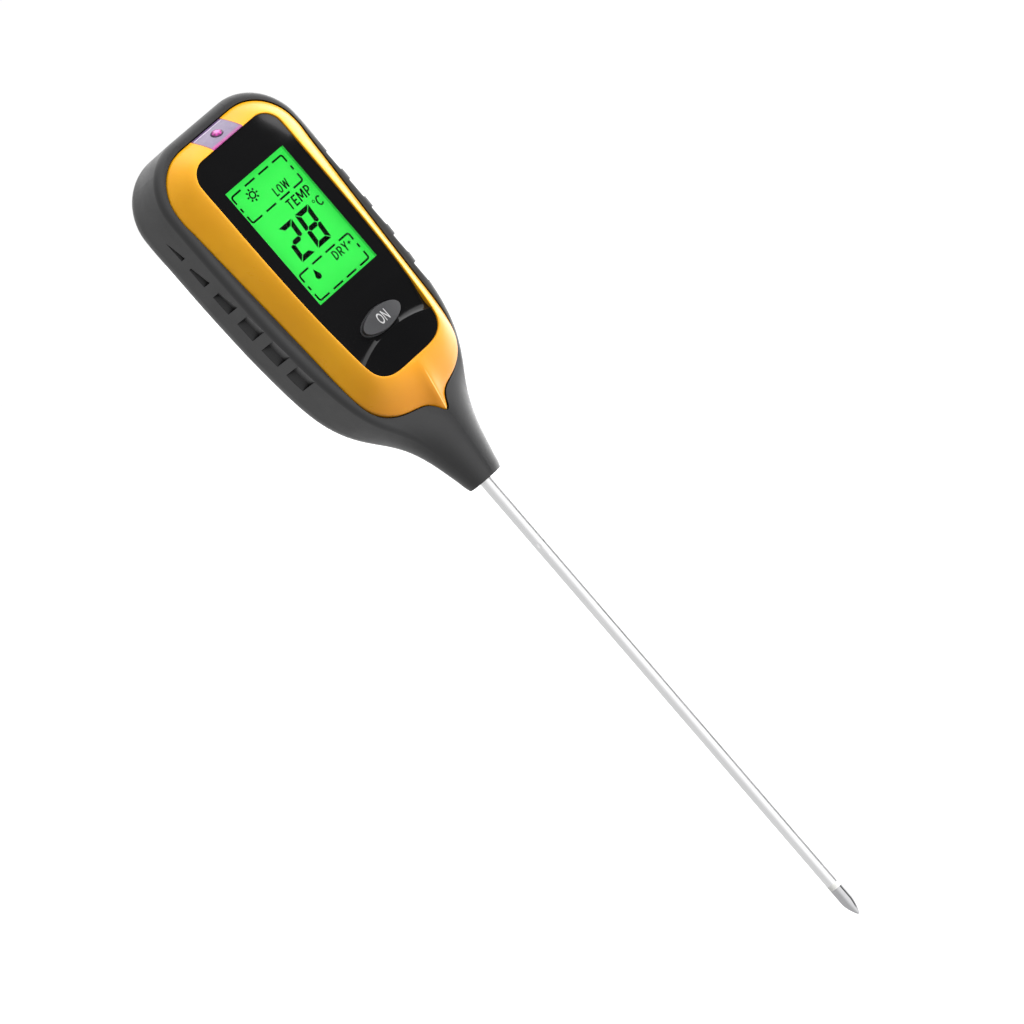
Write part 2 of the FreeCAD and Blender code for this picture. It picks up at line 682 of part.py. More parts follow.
def rim_groove(middle, low_front):
    """A shallow groove from a right-hand notch over the rounded front rim."""
    side, bottom = half_width_at(middle), middle - NOTCH_HEIGHT / 2
    top, rim_y = bottom + NOTCH_HEIGHT, -CASE_FRONT + FRONT_ROUND
    groove = box(side - 2.2, side + 2.0, -CASE_FRONT - 0.4, rim_y, bottom, top)
    groove = groove.cut(rod(FRONT_ROUND - 0.5, Vector(side - FRONT_ROUND, rim_y, bottom - 1),
                            ALONG_Z, NOTCH_HEIGHT + 2))
    return groove.fuse(box(side - 0.5, side + 2.0, rim_y, low_front + 1.0, bottom, top))


def main_housing(outer, inner):
    cavity = inner.common(box(-60, 60, -5.0, 60, 14.5, 200))
    recess = outline_solid(0.0, 0.36, -14.0, -7.2)
    opening = outline_solid(0.20, 0.0, -14.0, -4.6)
    shell = outer.cut(cavity).cut(recess).cut(opening)
    housing = shell.common(box(-60, 60, -60, PARTING, -10, 200))

    for middle, high_front, high_depth, low_front, low_depth in NOTCHES:
        wires = [notch_outline(middle - NOTCH_HEIGHT / 2, low_front, low_depth),
                 notch_outline(middle + NOTCH_HEIGHT / 2, high_front, high_depth)]
        notch = Part.makeLoft(wires, True, True)
        housing = housing.cut(notch)
        housing = housing.cut(mirrored(notch))
        # On the right the five lower notches go on over the rim.
        if middle < 120:
            housing = housing.cut(rim_groove(middle, low_front))

    # Neck: bush bore and the pocket of the retaining collar.
    bush_top = value("bush_top")
    housing = housing.cut(rod(value("bush_r") + 0.04, Vector(0, 0, -5), ALONG_Z, 5 + bush_top))
    housing = housing.cut(rod(value("collar_r") + 0.06, Vector(0, 0, bush_top), ALONG_Z, 8.0))

    # Screw bosses run from the front ledge to the parting plane; a web ties each
    # upper one to the side wall.
    boss_front = -5.9
    for x, z in BOSSES:
        boss = rod(BOSS_RADIUS, Vector(x, boss_front, z), ALONG_Y, PARTING - boss_front)
        housing = housing.fuse(boss.common(outer))
        if z > 100:
            web = box(*sorted((x, math.copysign(31.0, x))), -5.5, PARTING - 2.4,
                      z - 0.8, z + 0.8)
            housing = housing.fuse(web.common(outer))
    for x, z in BOSSES:
        housing = housing.cut(rod(SCREW_RADIUS + 0.05, Vector(x, -1.0, z), ALONG_Y, 30.0))
    return housing.removeSplitter()


# ---------------------------------------------------------------- rear cover
LAND_HALF, LAND_BACK = value("land_w") / 2, CASE_BACK + value("land_rise")
LAND_LOW, LAND_HIGH = value("land_low"), value("land_high")
DOOR_HALF, DOOR_GAP = value("door_w") / 2, value("door_gap")
DOOR_LOW, DOOR_HIGH = value("door_low"), value("door_high")
DOOR_FRONT = LAND_BACK - value("door_t")
TONGUE_WIDTH = value("tongue_w")
TONGUE_BACK = DOOR_FRONT + 1.0
BAY_HALF, BAY_LOW, BAY_HIGH = 14.6, 50.6, 108.6
BAY_FLOOR, BAY_WALL = -2.9, 1.3
RIB_LOW_ENDS = (64.0, 92.0, 116.0)


def rear_land():
    """The raised flat on the back, with round corners and a bevelled edge."""
    land = box(-LAND_HALF, LAND_HALF, CASE_BACK - 1.5, LAND_BACK, LAND_LOW, LAND_HIGH)
    land = land.makeFillet(6.0, edges_along(land, ALONG_Y))
    return land.makeChamfer(0.35, [edge for edge in land.Edges
                                   if abs(edge.BoundBox.YMin - LAND_BACK) < 1e-6
                                   and abs(edge.BoundBox.YMax - LAND_BACK) < 1e-6])


def door_space(half):
    """Cutter for the door, open downward and to the back."""
    return half + DOOR_GAP


def rear_cover(outer, inner):
    front = PARTING + value("parting_gap")
    cover = outer.cut(inner).common(box(-60, 60, front, 60, -10, 200))
    # Six ribs on the cover's inside reach into the front half and line the two up.
    for low in RIB_LOW_ENDS:
        for side in (1, -1):
            wall_in = half_width_at(low) - WALL
            inside = side * (wall_in - 2.20)
            rib_span = sorted((side * (wall_in - 0.80), inside))
            foot_span = sorted((side * (wall_in - 0.30), inside))
            rib = box(*rib_span, PARTING - 1.6, front + 2.4, low, low + 6.0)
            foot = box(*foot_span, front, front + 2.4, low, low + 6.0)
            cover = cover.fuse(rib).fuse(foot)

    land_space = box(-LAND_HALF, LAND_HALF, CASE_BACK - 0.4, LAND_BACK, LAND_LOW, LAND_HIGH)
    cover = cover.fuse(rear_land().common(outer.fuse(land_space)))
    for x, z in BOSSES:
        post = rod(BOSS_RADIUS + 0.3, Vector(x, PARTING + 0.1, z), ALONG_Y, 8.0)
        cover = cover.fuse(post.common(outer))

    # Battery bay: four walls and a floor, open at the back, with a round hole in
    # the floor for the leads.
    bay = box(-BAY_HALF - BAY_WALL, BAY_HALF + BAY_WALL, BAY_FLOOR - BAY_WALL,
              CASE_BACK - 1.0, BAY_LOW - BAY_WALL, BAY_HIGH + BAY_WALL)
    bay = bay.cut(box(-BAY_HALF, BAY_HALF, BAY_FLOOR, 40, BAY_LOW, BAY_HIGH))
    bay = bay.cut(rod(2.6, Vector(-8.6, BAY_FLOOR - 3, 105.0), ALONG_Y, 5.0))
    cover = cover.fuse(bay)

    # The bay's mouth, the seat of the door and the slots of its tongues.
    seat_front, top = DOOR_FRONT - 0.12, DOOR_HIGH + DOOR_GAP
    seat_half = DOOR_HALF + DOOR_GAP
    slot_half = DOOR_HALF + TONGUE_WIDTH + DOOR_GAP
    cover = cover.cut(box(-BAY_HALF, BAY_HALF, 10.0, 40, BAY_LOW, BAY_HIGH))
    cover = cover.cut(box(-seat_half, seat_half, seat_front, 40, -20, top))
    cover = cover.cut(box(-slot_half, slot_half, seat_front, TONGUE_BACK + 0.12, -20, top))
    for x, z in BOSSES:
        cover = cover.cut(rod(SCREW_RADIUS + 0.12, Vector(x, 0, z), ALONG_Y, 40.0))
        cover = cover.cut(rod(HEAD_RADIUS + 0.15, Vector(x, HEAD_SEAT, z), ALONG_Y, 40.0))
    return cover.removeSplitter()


case_outer = case_solid(0.0)
case_inner = case_solid(WALL)
add_piece("main_housing", main_housing(case_outer, case_inner))
add_piece("rear_cover", rear_cover(case_outer, case_inner))


# ---------------------------------------------------------------- battery door
def battery_door():
    door = box(-DOOR_HALF, DOOR_HALF, DOOR_FRONT, LAND_BACK, DOOR_LOW, DOOR_HIGH)
    # The back slopes down to a thin lower edge.
    slope_top, edge_back = DOOR_LOW + 7.5, DOOR_FRONT + 0.35
    wedge = [(LAND_BACK + 0.01, slope_top), (LAND_BACK + 2, slope_top),
             (LAND_BACK + 2, DOOR_LOW - 3), (edge_back, DOOR_LOW - 3),
             (edge_back, DOOR_LOW), (LAND_BACK + 0.01, slope_top)]
    wedge_face = Part.Face(Part.makePolygon([Vector(-30, y, z) for y, z in wedge]))
    door = door.cut(wedge_face.extrude(Vector(60, 0, 0)))
    tongue_half = DOOR_HALF + TONGUE_WIDTH
    door = door.fuse(box(-tongue_half, tongue_half, DOOR_FRONT, TONGUE_BACK, 49.0, DOOR_HIGH))
    # Five rounded ribs across the lower part of the back.
    rib_count, rib_low, rib_pitch, rib_half = 5, 53.0, 2.6, 9.0
    rib_space = box(-rib_half, rib_half, LAND_BACK - 1.0, LAND_BACK + 1, 40, 80)
    for index in range(rib_count):
        start = Vector(-rib_half, LAND_BACK - 0.2, rib_low + rib_pitch * index)
        rib = rod(0.75, start, ALONG_X, 2 * rib_half)
        door = door.fuse(rib.common(rib_space))
    return door.removeSplitter()


add_piece("battery_door", battery_door())

# ---------------------------------------------------------------- face panel
FACE = -value("face_y")
KEY_Z, KEY_WIDTH, KEY_TALL = value("key_z"), value("key_w"), value("key_tall")
FLANGE_WIDTH, FLANGE_TALL = KEY_WIDTH + 0.9, KEY_TALL + 0.8
face_size, panel_size = dim("face_y"), dim("panel_t")
display_half = dim("lcd_w") * 0.5

# Finger scoop round the key, from below its lower crease upward: height above the
# crease, depth behind the face.
SCOOP_PROFILE = [
    (-1.5, -1.0), (-0.7, -0.45), (0.0, 0.02), (0.6, 0.42), (1.4, 0.78), (2.6, 1.05),
    (4.2, 1.12), (6.0, 0.98), (8.0, 0.70), (10.0, 0.40), (12.0, 0.15), (13.6, 0.02),
    (15.0, -0.04), (17.0, -0.25),
]
CREASE_TOP, CREASE_RADIUS = 58.35, 41.0
SCOOP_HALF, SCOOP_STEPS = 21.0, 20


def eye_solid(width, tall, y_start, y_end):
    """A prism with the key's outline: two arcs that meet at blunt ends."""
    count = 56
    points = []
    for index in range(count):
        angle = 2 * math.pi * index / count
        cosine, sine = math.cos(angle), math.sin(angle)
        reach = (abs(cosine) ** 1.78 + abs(sine) ** 2.05) ** (-1 / 1.9)
        points.append(Vector(width / 2.0 * reach * cosine, y_start,
                             KEY_Z + tall / 2.0 * reach * sine))
    edge = curve_through(points, PeriodicFlag=True).toShape()
    return Part.Face(Part.Wire([edge])).extrude(Vector(0, y_end - y_start, 0))


def crease_height(x):
    """The arched crease at the lower edge of the scoop."""
    return CREASE_TOP - (CREASE_RADIUS - math.sqrt(CREASE_RADIUS ** 2 - x ** 2))


def finger_scoop():
    """It leaves the flat face smoothly above and ends at a crisp crease below."""
    shares = [index / SCOOP_STEPS for index in range(SCOOP_STEPS + 1)]
    columns = [SCOOP_HALF * (2 * share - 1) for share in shares]
    rows = [[Vector(x, FACE + depth, crease_height(x) + rise) for x in columns]
            for rise, depth in SCOOP_PROFILE]
    floor = surface_through(rows, shares, running_lengths(SCOOP_PROFILE)).toShape()
    return floor.extrude(Vector(0, -4.0, 0))


def panel_blank():
    """The panel with its thicker patch behind the key and the display opening."""
    body = new_body("face_panel_blank")
    sketch = new_sketch(body, "panel_outline", "XZ_Plane", face_size - panel_size)
    points = ring_points(1.0, -value("panel_gap"))
    for side in (1, -1):
        curve = curve_through([Vector(side * x, z, 0) for x, z in points],
                              Parameters=OUTLINE_PARAMS)
        sketch.addGeometry(curve, False)
    for end in (1, 2):
        sketch.addConstraint(Sketcher.Constraint("Coincident", 0, end, 1, end))
    pad(body, "panel_plate", sketch, panel_size)
    sketch = new_sketch(body, "panel_back_pad", "XZ_Plane", face_size - 3.0)
    add_rect(sketch, -13.2, 13.2, 52.6, 72.4)
    pad(body, "panel_thick", sketch, 1.6)
    sketch = new_sketch(body, "window_opening", "XZ_Plane", face_size + 0.5)
    add_rect(sketch, -display_half, display_half, dim("lcd_low"), dim("lcd_high"))
    pocket(body, "window_pocket", sketch, 4.0)
    return body.Shape


key_gap = value("key_gap")
key_opening = eye_solid(FLANGE_WIDTH + 2 * key_gap, FLANGE_TALL + 2 * key_gap, -20.0, -10.0)
add_piece("face_panel", panel_blank().cut(finger_scoop()).cut(key_opening).removeSplitter())

window_gap = dim("window_gap")
pieces.append(plate_body("display_window", -display_half + window_gap,
                         display_half - window_gap, dim("lcd_low") + window_gap,
                         dim("lcd_high") - window_gap, face_size - panel_size, panel_size))

add_piece("panel_gasket", outline_solid(1.0, -0.05, -14.7, -14.9).cut(
    outline_solid(1.0, -1.5, -14.6, -15.0)))


# ---------------------------------------------------------------- power key
def power_button():
    """The crowned key with its flange, skirt, stop plate and stem behind it."""
    crown_front = FACE - value("key_rise")
    sphere_radius, barrel_radius = 61.0, 16.0
    sphere = Part.makeSphere(sphere_radius, Vector(0, crown_front + sphere_radius, KEY_Z))
    barrel = rod(barrel_radius, Vector(-20, crown_front + barrel_radius, KEY_Z), ALONG_X, 40.0)
    base = box(-20, 20, FACE + 0.4, FACE + 10, KEY_Z - 10, KEY_Z + 10)
    key = eye_solid(KEY_WIDTH, KEY_TALL, FACE + 1.6, FACE - 3.0)
    key = key.common(sphere).common(barrel.fuse(base))
    flange = eye_solid(FLANGE_WIDTH, FLANGE_TALL, FACE + 1.0, FACE + 2.4)
    skirt = eye_solid(KEY_WIDTH - 1.4, KEY_TALL - 1.2, FACE + 2.3, FACE + 3.5)
    stop = box(-KEY_WIDTH / 2 + 1.0, KEY_WIDTH / 2 - 1.0, FACE + 3.15, FACE + 3.9,
               KEY_Z - 4.9, KEY_Z + 4.9)
    stem = rod(1.5, Vector(0, FACE + 3.0, KEY_Z), ALONG_Y, 2.75)
    return key.fuse(flange).fuse(skirt).fuse(stop).fuse(stem).removeSplitter()


def key_dome():
    """Silicone dome between the key's stem and the board: a short hollow bell."""
    body = new_body("key_dome")
    foot_height = 0.8
    board = dim("board_y")
    sketch = new_sketch(body, "key_dome_foot", "XZ_Plane", board)
    add_circle(sketch, 0, dim("key_z"), 4.2)
    pad(body, "key_dome_base", sketch, foot_height)
    sketch = new_sketch(body, "key_dome_ring", "XZ_Plane", board + foot_height)
    add_circle(sketch, 0, dim("key_z"), 2.6)
    pad(body, "key_dome_bell", sketch, 1.95)
    sketch = new_sketch(body, "key_dome_hollow", "XZ_Plane", board)
    add_circle(sketch, 0, dim("key_z"), 1.9)
    pocket(body, "key_dome_space", sketch, 1.6, reverse=True)
    return body


add_piece("power_button", power_button())
pieces.append(key_dome())

# ---------------------------------------------------------------- display stack
board_size = dim("board_y")
glass_half, glass_low, glass_high = dim("glass_w") * 0.5, dim("glass_low"), dim("glass_high")
glass_back = face_size - panel_size - 0.15 - dim("glass_t")
light_back = face_size - panel_size - 0.25 - dim("glass_t") - dim("light_t")
STRIP_HALF = 13.0


def lcd_holder():
    """A frame round the glass and backlight, with a slot for the connector strip."""
    body = new_body("lcd_holder")
    gap, frame_back, frame_depth = 0.1, 0.02, 6.6
    sketch = new_sketch(body, "holder_outline", "XZ_Plane", board_size + frame_back)
    add_rect(sketch, -glass_half - 0.85, glass_half + 0.85, glass_low - 3.2, glass_high + 1.8)
    pad(body, "holder_frame", sketch, frame_depth)
    # Sketch and pocket names, half width, lower and upper edge, depth from the front.
    pockets = [
        ("holder_pocket", "holder_space", glass_half + gap,
         glass_low + 2.9, glass_high + gap, 3.85),
        ("holder_glass_pocket", "holder_glass_space", glass_half + gap,
         glass_low - gap, glass_low + 3.0, 1.27),
        ("holder_strip_slot", "holder_strip_space", as_size(STRIP_HALF + gap),
         glass_low + 0.4, glass_low + 2.2, 7.0),
    ]
    for sketch_name, pocket_name, half, low, high, depth in pockets:
        sketch = new_sketch(body, sketch_name, "XZ_Plane",
                            board_size + (frame_back + frame_depth))
        add_rect(sketch, -half, half, low, high)
        pocket(body, pocket_name, sketch, depth)
    return body


pieces.append(plate_body("lcd_glass", -glass_half, glass_half, glass_low, glass_high,
                         glass_back, dim("glass_t")))
pieces.append(plate_body("lcd_backlight", -glass_half, glass_half, glass_low + 3.0, glass_high,
                         light_back, dim("light_t")))
pieces.append(lcd_holder())
pieces.append(plate_body("zebra_connector", -STRIP_HALF, STRIP_HALF, glass_low + 0.5,
                         glass_low + 2.1, board_size, glass_back - board_size))


# ---------------------------------------------------------------- circuit board
def main_board():
    """The board with cut corners and a hole at each post."""
    body = new_body("main_board")
    half, low, high = dim("board_w") * 0.5, dim("board_low"), dim("board_high")
    sketch = new_sketch(body, "board_outline", "XZ_Plane", board_size - dim("board_t"))
    add_polygon(sketch, [(-half + 4.0, low), (half - 4.0, low), (half, low + 6.0),
                         (half, high - 8.0), (half - 4.0, high), (-half + 4.0, high),
                         (-half, high - 8.0), (-half, low + 6.0)])
    pad(body, "board_plate", sketch, dim("board_t"))
    sketch = new_sketch(body, "board_holes", "XZ_Plane", board_size + 1.0)
    for x, z in POSTS:
        add_circle(sketch, x, z, 1.1)
    pocket(body, "board_hole_cut", sketch, 4.0)
    return body


def cross_slots(x, z, y_min, y_max, half_length, half_width):
    """The two slots of a cross recess, the one along X first."""
    return (box(x - half_length, x + half_length, y_min, y_max, z - half_width, z + half_width),
            box(x - half_width, x + half_width, y_min, y_max, z - half_length, z + half_length))


def board_screw(x, z):
    length = 5.2
    shank = rod(0.8, Vector(x, BOARD_BACK - length, z), ALONG_Y, length)
    head = rod(1.7, Vector(x, BOARD_BACK, z), ALONG_Y, 1.2)
    head = head.makeFillet(0.4, [edge for edge in head.Edges
                                 if edge.BoundBox.YMin > BOARD_BACK + 1.1])
    across, upright = cross_slots(x, z, BOARD_BACK + 0.7, BOARD_BACK + 2, 1.2, 0.22)
    return shank.fuse(head.cut(across).cut(upright))


def controller_chip():
    body = new_body("controller_chip")
    height = 1.5
    sketch = new_sketch(body, "chip_outline", "XZ_Plane", board_size - dim("board_t") - height)
    add_rect(sketch, -6.0, 6.0, 116.0, 128.0)
    pad(body, "chip_package", sketch, height)
    doc.recompute()
    package = body.Tip
    chamfer = body.newObject("PartDesign::Chamfer", "chip_edge")
    rear_edges = ["Edge%d" % index for index, edge in enumerate(package.Shape.Edges, start=1)
                  if edge.BoundBox.YMin > BOARD_BACK + 1.4]
    chamfer.Base = (package, rear_edges)
    chamfer.Size = 0.25
    body.Tip = chamfer
    return body


# Small parts on the back of the board: centre x, z, width, height, thickness.
COMPONENTS = [
    (-14, 122, 2.0, 1.25, 0.55), (-14, 118, 2.0, 1.25, 0.55), (-10.5, 113, 1.25, 2.0, 0.8),
    (11, 113.5, 2.0, 1.25, 0.8), (13.5, 121, 1.25, 2.0, 0.55), (13.5, 126, 3.0, 1.6, 1.2),
    (0, 113.2, 4.8, 1.8, 1.6), (-9.0, 131.5, 2.9, 1.5, 1.0), (9.0, 131.5, 2.0, 1.25, 0.55),
    (-18.3, 84, 2.0, 1.25, 0.55), (18.3, 96, 1.25, 2.0, 0.8), (18.3, 76, 3.2, 2.6, 1.4),
]


def sensor_lead(x):
    """One leg of the light sensor, bent once on its way down to the board."""
    radius = 0.25
    top = Vector(x, SENSOR_CENTRE.y, SENSOR_CENTRE.z) - SLOPE * 3.92
    bend = Vector(x, -9.6, 138.3)
    foot = Vector(x, BOARD_FRONT - 0.27, 135.4)
    upper = rod(radius, top, bend - top, (bend - top).Length)
    lower = rod(radius, bend, foot - bend, (foot - bend).Length)
    return upper.fuse(lower).fuse(Part.makeSphere(radius, bend))


pieces.append(main_board())
add_piece("board_screws", Part.makeCompound([board_screw(x, z) for x, z in POSTS]))
pieces.append(controller_chip())
add_piece("circuit_components", Part.makeCompound([
    box(x - width / 2, x + width / 2, BOARD_BACK, BOARD_BACK + thickness,
        z - tall / 2, z + tall / 2)
    for x, z, width, tall, thickness in COMPONENTS]))
add_piece("sensor_leads", Part.makeCompound([sensor_lead(x) for x in (-1.1, 1.1)]))

# ---------------------------------------------------------------- battery and snap
BATTERY_Y = value("battery_back") - value("battery_d") / 2
BATTERY_TOP = value("battery_low") + value("battery_h")
CONTACT_X = 6.35


def battery():
    body = new_body("battery")
    half, back = dim("battery_w") * 0.5, dim("battery_back")
    sketch = new_sketch(body, "battery_outline", "XY_Plane", dim("battery_low"))
    add_rect(sketch, -half, half, back - dim("battery_d"), back)
    pad(body, "battery_can", sketch, dim("battery_h"))
    doc.recompute()
    can = body.Tip
    corners = body.newObject("PartDesign::Fillet", "battery_corners")
    corners.Base = (can, ["Edge%d" % index for index, edge in enumerate(can.Shape.Edges, start=1)
                          if abs(edge.tangentAt(edge.FirstParameter).z) > 0.99])
    corners.Radius = 2.2
    body.Tip = corners
    doc.recompute()
    rims = body.newObject("PartDesign::Fillet", "battery_rims")
    rims.Base = (corners, ["Face%d" % index
                           for index, face in enumerate(corners.Shape.Faces, start=1)
                           if abs(face.normalAt(0, 0).z) > 0.99])
    rims.Radius = 0.6
    body.Tip = rims
    return body


def contact(x, radius, rise, height):
    """A cylinder standing over one battery contact, from rise above the can."""
    return rod(radius, Vector(x, BATTERY_Y, BATTERY_TOP + rise), ALONG_Z, height)


def battery_snap():
    """The snap's cap, with a cup over the battery's stud and a stud in its cup."""
    snap = box(-12.8, 12.8, BATTERY_Y - 6.3, BATTERY_Y + 6.3,
               BATTERY_TOP + 2.0, BATTERY_TOP + 5.2)
    snap = snap.makeFillet(3.0, edges_along(snap, ALONG_Z))
    snap = snap.makeFillet(0.6, [edge for edge in snap.Edges
                                 if edge.BoundBox.ZMin > BATTERY_TOP + 5.1])
    snap = snap.fuse(contact(CONTACT_X, 3.5, 0.25, 2.2).cut(contact(CONTACT_X, 2.82, 0, 2.0)))
    return snap.fuse(contact(-CONTACT_X, 2.6, 0.5, 2.0))


def board_lead(points, radius):
    """A round wire swept smoothly through points, its end cut flat just behind the
    board."""
    curve = curve_through([Vector(*point) for point in points])
    tangent = curve.tangent(curve.FirstParameter)[0]
    circle = Part.Wire([Part.makeCircle(radius, Vector(*points[0]), tangent)])
    lead = Part.Wire([curve.toShape()]).makePipeShell([circle], True, True)
    clear = box(-30, 30, BOARD_BACK - 8.0, BOARD_BACK + 0.03, 25.0, 140.0)
    return lead.cut(clear).Solids[0]


snap_side, lead_z = BATTERY_Y - 6.38, BATTERY_TOP + 3.6
BATTERY_LEADS = [
    [(-9.9, snap_side, lead_z), (-9.7, BATTERY_Y - 7.6, lead_z + 0.6),
     (-9.3, BATTERY_Y - 9.6, 105.0), (-9.0, BATTERY_Y - 11.6, 105.3),
     (-9.0, BOARD_BACK + 0.16, 106.2)],
    [(-7.2, snap_side, lead_z), (-7.4, BATTERY_Y - 7.6, lead_z + 0.4),
     (-8.05, BATTERY_Y - 9.4, 105.0), (-7.9, BATTERY_Y - 11.2, 105.0),
     (-6.4, BOARD_BACK + 0.22, 104.6)],
]

pieces.append(battery())
battery_stud = contact(CONTACT_X, 2.7, 0, 1.9).cut(contact(CONTACT_X, 1.9, 0.7, 3))
battery_cup = contact(-CONTACT_X, 3.6, 0, 1.9).cut(contact(-CONTACT_X, 2.85, 0.4, 3))
add_piece("battery_terminals", Part.makeCompound([battery_stud, battery_cup]))
add_piece("battery_snap", battery_snap())
add_piece("battery_leads",
          Part.makeCompound([board_lead(points, 0.55) for points in BATTERY_LEADS]))

# ---------------------------------------------------------------- probe
FIT = 0.02  # clearance between the probe's parts
tube_radius, tube_bore, tube_end = dim("tube_r"), dim("tube_bore"), dim("tube_end")
ring_len, liner_radius = dim("ring_len"), dim("liner_r")
tip_top = -tube_end - ring_len
TIP_HOLE_DEPTH, CORE_DEPTH = 4.0, 3.9  # core's hole in the tip, and its reach into it
CORE_TOP, LINER_TOP = 22.0, 19.0

# Round dents in the tube: angle from the front toward +X in degrees, height, radius
# of the sphere, depth.
DENTS = [(-52, -28.3, 2.0, 0.22), (-30, -32.7, 1.6, 0.10)]


def probe_shaft():
    """The tube with its retaining groove and two dents."""
    groove_radius, top = dim("groove_r"), 16.0
    body = turned_body("probe_tube", "tube_section", "tube_wall", [
        (tube_bore, -tube_end), (tube_radius, -tube_end), (tube_radius, 0.0),
        (groove_radius, 0.0), (groove_radius, 1.0), (tube_radius, 1.0),
        (tube_radius, top), (tube_bore, top)])
    doc.recompute()
    shaft = body.Shape
    for degrees, z, radius, depth in DENTS:
        angle = math.radians(degrees)
        outward = Vector(math.sin(angle), -math.cos(angle), 0)
        centre = outward * (tube_radius.number + radius - depth) + Vector(0, 0, z)
        shaft = shaft.cut(Part.makeSphere(radius, centre))
    return shaft


def probe_tip():
    """The turned tip: a slightly bulging cone closed by a small arc, with a hole for
    the core."""
    body = new_body("probe_tip")
    sketch = new_sketch(body, "tip_section", "XZ_Plane")
    top = tip_top.number
    shoulder = top - value("tip_len")
    point = shoulder - value("cone_len")
    radius, rounding = tube_radius.number, value("tip_round")
    cone_angle = math.atan2(radius, value("cone_len") + 0.55)
    half_turn = math.radians(40.5)
    arc_middle = Vector(rounding * math.sin(half_turn),
                        point + rounding - rounding * math.cos(half_turn), 0)
    hole_radius, hole_end = value("core_r") + FIT, top - TIP_HOLE_DEPTH
    corners = [Vector(x, z, 0) for x, z in (
        (rounding * math.cos(cone_angle), point + rounding * (1 - math.sin(cone_angle))),
        (radius, shoulder), (radius, top), (hole_radius, top),
        (hole_radius, hole_end), (0, hole_end), (0, point))]
    cone_middle = (corners[0] + corners[1]) * 0.5 + Vector(0.26, -0.12, 0)
    curves = [Part.Arc(corners[-1], arc_middle, corners[0]),
              Part.Arc(corners[0], cone_middle, corners[1])]
    curves += [Part.LineSegment(start, end) for start, end in zip(corners[1:], corners[2:])]
    chain = [sketch.addGeometry(curve, False) for curve in curves]
    join_ends(sketch, chain)
    for line in chain[2:]:
        sketch.addConstraint(Sketcher.Constraint("Block", line))
    revolve(body, "tip_turned", sketch)
    return body


def temperature_sensor():
    """A small bead near the probe's end on a thin wire up to the neck."""
    centre, wire_low = Vector(0, 1.6, -169.5), -167.4
    bead = Part.makeSphere(0.34, centre).fuse(rod(0.34, centre, ALONG_Z, 2.2))
    bead = bead.fuse(rod(0.14, Vector(0, 1.6, wire_low), ALONG_Z, 18.0 - wire_low))
    return bead.removeSplitter()


add_piece("probe_shaft", probe_shaft())
plug_radius, plug_top = tube_bore - FIT, -tube_end + 6.0
pieces.append(turned_body("probe_insulator", "insulator_section", "insulator_ring", [
    (liner_radius + FIT, tip_top), (tube_radius, tip_top), (tube_radius, -tube_end),
    (plug_radius, -tube_end), (plug_radius, plug_top), (liner_radius + FIT, plug_top)]))
pieces.append(probe_tip())
pieces.append(round_body("probe_core", "core_section", "core_rod", tip_top - CORE_DEPTH,
                         [dim("core_r")], tube_end + ring_len + CORE_DEPTH + CORE_TOP))
pieces.append(round_body("probe_liner", "liner_section", "liner_sleeve", tip_top,
                         [liner_radius, dim("liner_bore")], tube_end + ring_len + LINER_TOP))
add_piece("temperature_sensor", temperature_sensor())

# ---------------------------------------------------------------- neck
bush_radius, bush_nose, bush_top = dim("bush_r"), dim("bush_nose"), dim("bush_top")
pieces.append(turned_body("neck_bush", "bush_section", "bush_turned", [
    (tube_radius + FIT, bush_nose), (bush_radius - 0.5, bush_nose),
    (bush_radius, bush_nose + 0.5), (bush_radius, bush_top), (tube_radius + FIT, bush_top)]))
pieces.append(round_body("probe_collar", "collar_section", "collar_ring", bush_top + FIT,
                         [dim("collar_r"), tube_radius + FIT], dim("collar_t")))

CORE_LEAD = [(0, 0.0, 22.08), (0.0, -1.2, 27.0), (2.0, -4.2, 36.0),
             (3.5, BOARD_BACK + 3.0, 46.0), (3.5, BOARD_BACK + 1.2, 49.5),
             (3.5, BOARD_BACK + 0.22, 51.5)]
SENSOR_LEAD = [(0, 1.6, 18.06), (-1.2, 1.3, 24.0), (-2.6, -2.2, 34.0),
               (-3.5, BOARD_BACK + 3.0, 45.0), (-3.5, BOARD_BACK + 1.2, 49.5),
               (-3.5, BOARD_BACK + 0.2, 51.5)]
add_piece("probe_leads",
          Part.makeCompound([board_lead(CORE_LEAD, 0.5), board_lead(SENSOR_LEAD, 0.4)]))
add_piece("ground_washer", rod(3.6, Vector(0, 0, 14.45), ALONG_Z, 0.5).cut(
    rod(tube_radius.number + FIT, Vector(0, 0, 14), ALONG_Z, 2)))


# ---------------------------------------------------------------- case screws
def case_screw(x, z):
    head_front = HEAD_SEAT + 0.02
    shank = rod(SCREW_RADIUS, Vector(x, 2.0, z), ALONG_Y, 14.6)
    head = rod(HEAD_RADIUS, Vector(x, head_front, z), ALONG_Y, 1.5)
    head = head.makeFillet(0.5, [edge for edge in head.Edges if edge.BoundBox.YMin > 17.8])
    across, upright = cross_slots(x, z, 17.0, 19.0, 1.5, 0.28)
    return shank.fuse(head).cut(across.fuse(upright))


add_piece("case_screws", Part.makeCompound([case_screw(x, z) for x, z in BOSSES]))

# ---------------------------------------------------------------- checks and output
doc.recompute()
for obj in doc.Objects:
    if "Invalid" in obj.State or "Error" in obj.State:
        raise RuntimeError("failed: %s %s" % (obj.Label, obj.State))
for obj in pieces:
    if obj.Shape.isNull() or not obj.Shape.isValid() or not obj.Shape.Solids:
        raise RuntimeError("bad shape: " + obj.Label)
for obj in pieces:
    obj.Shape.exportStep("parts/%s.step" % obj.Label)
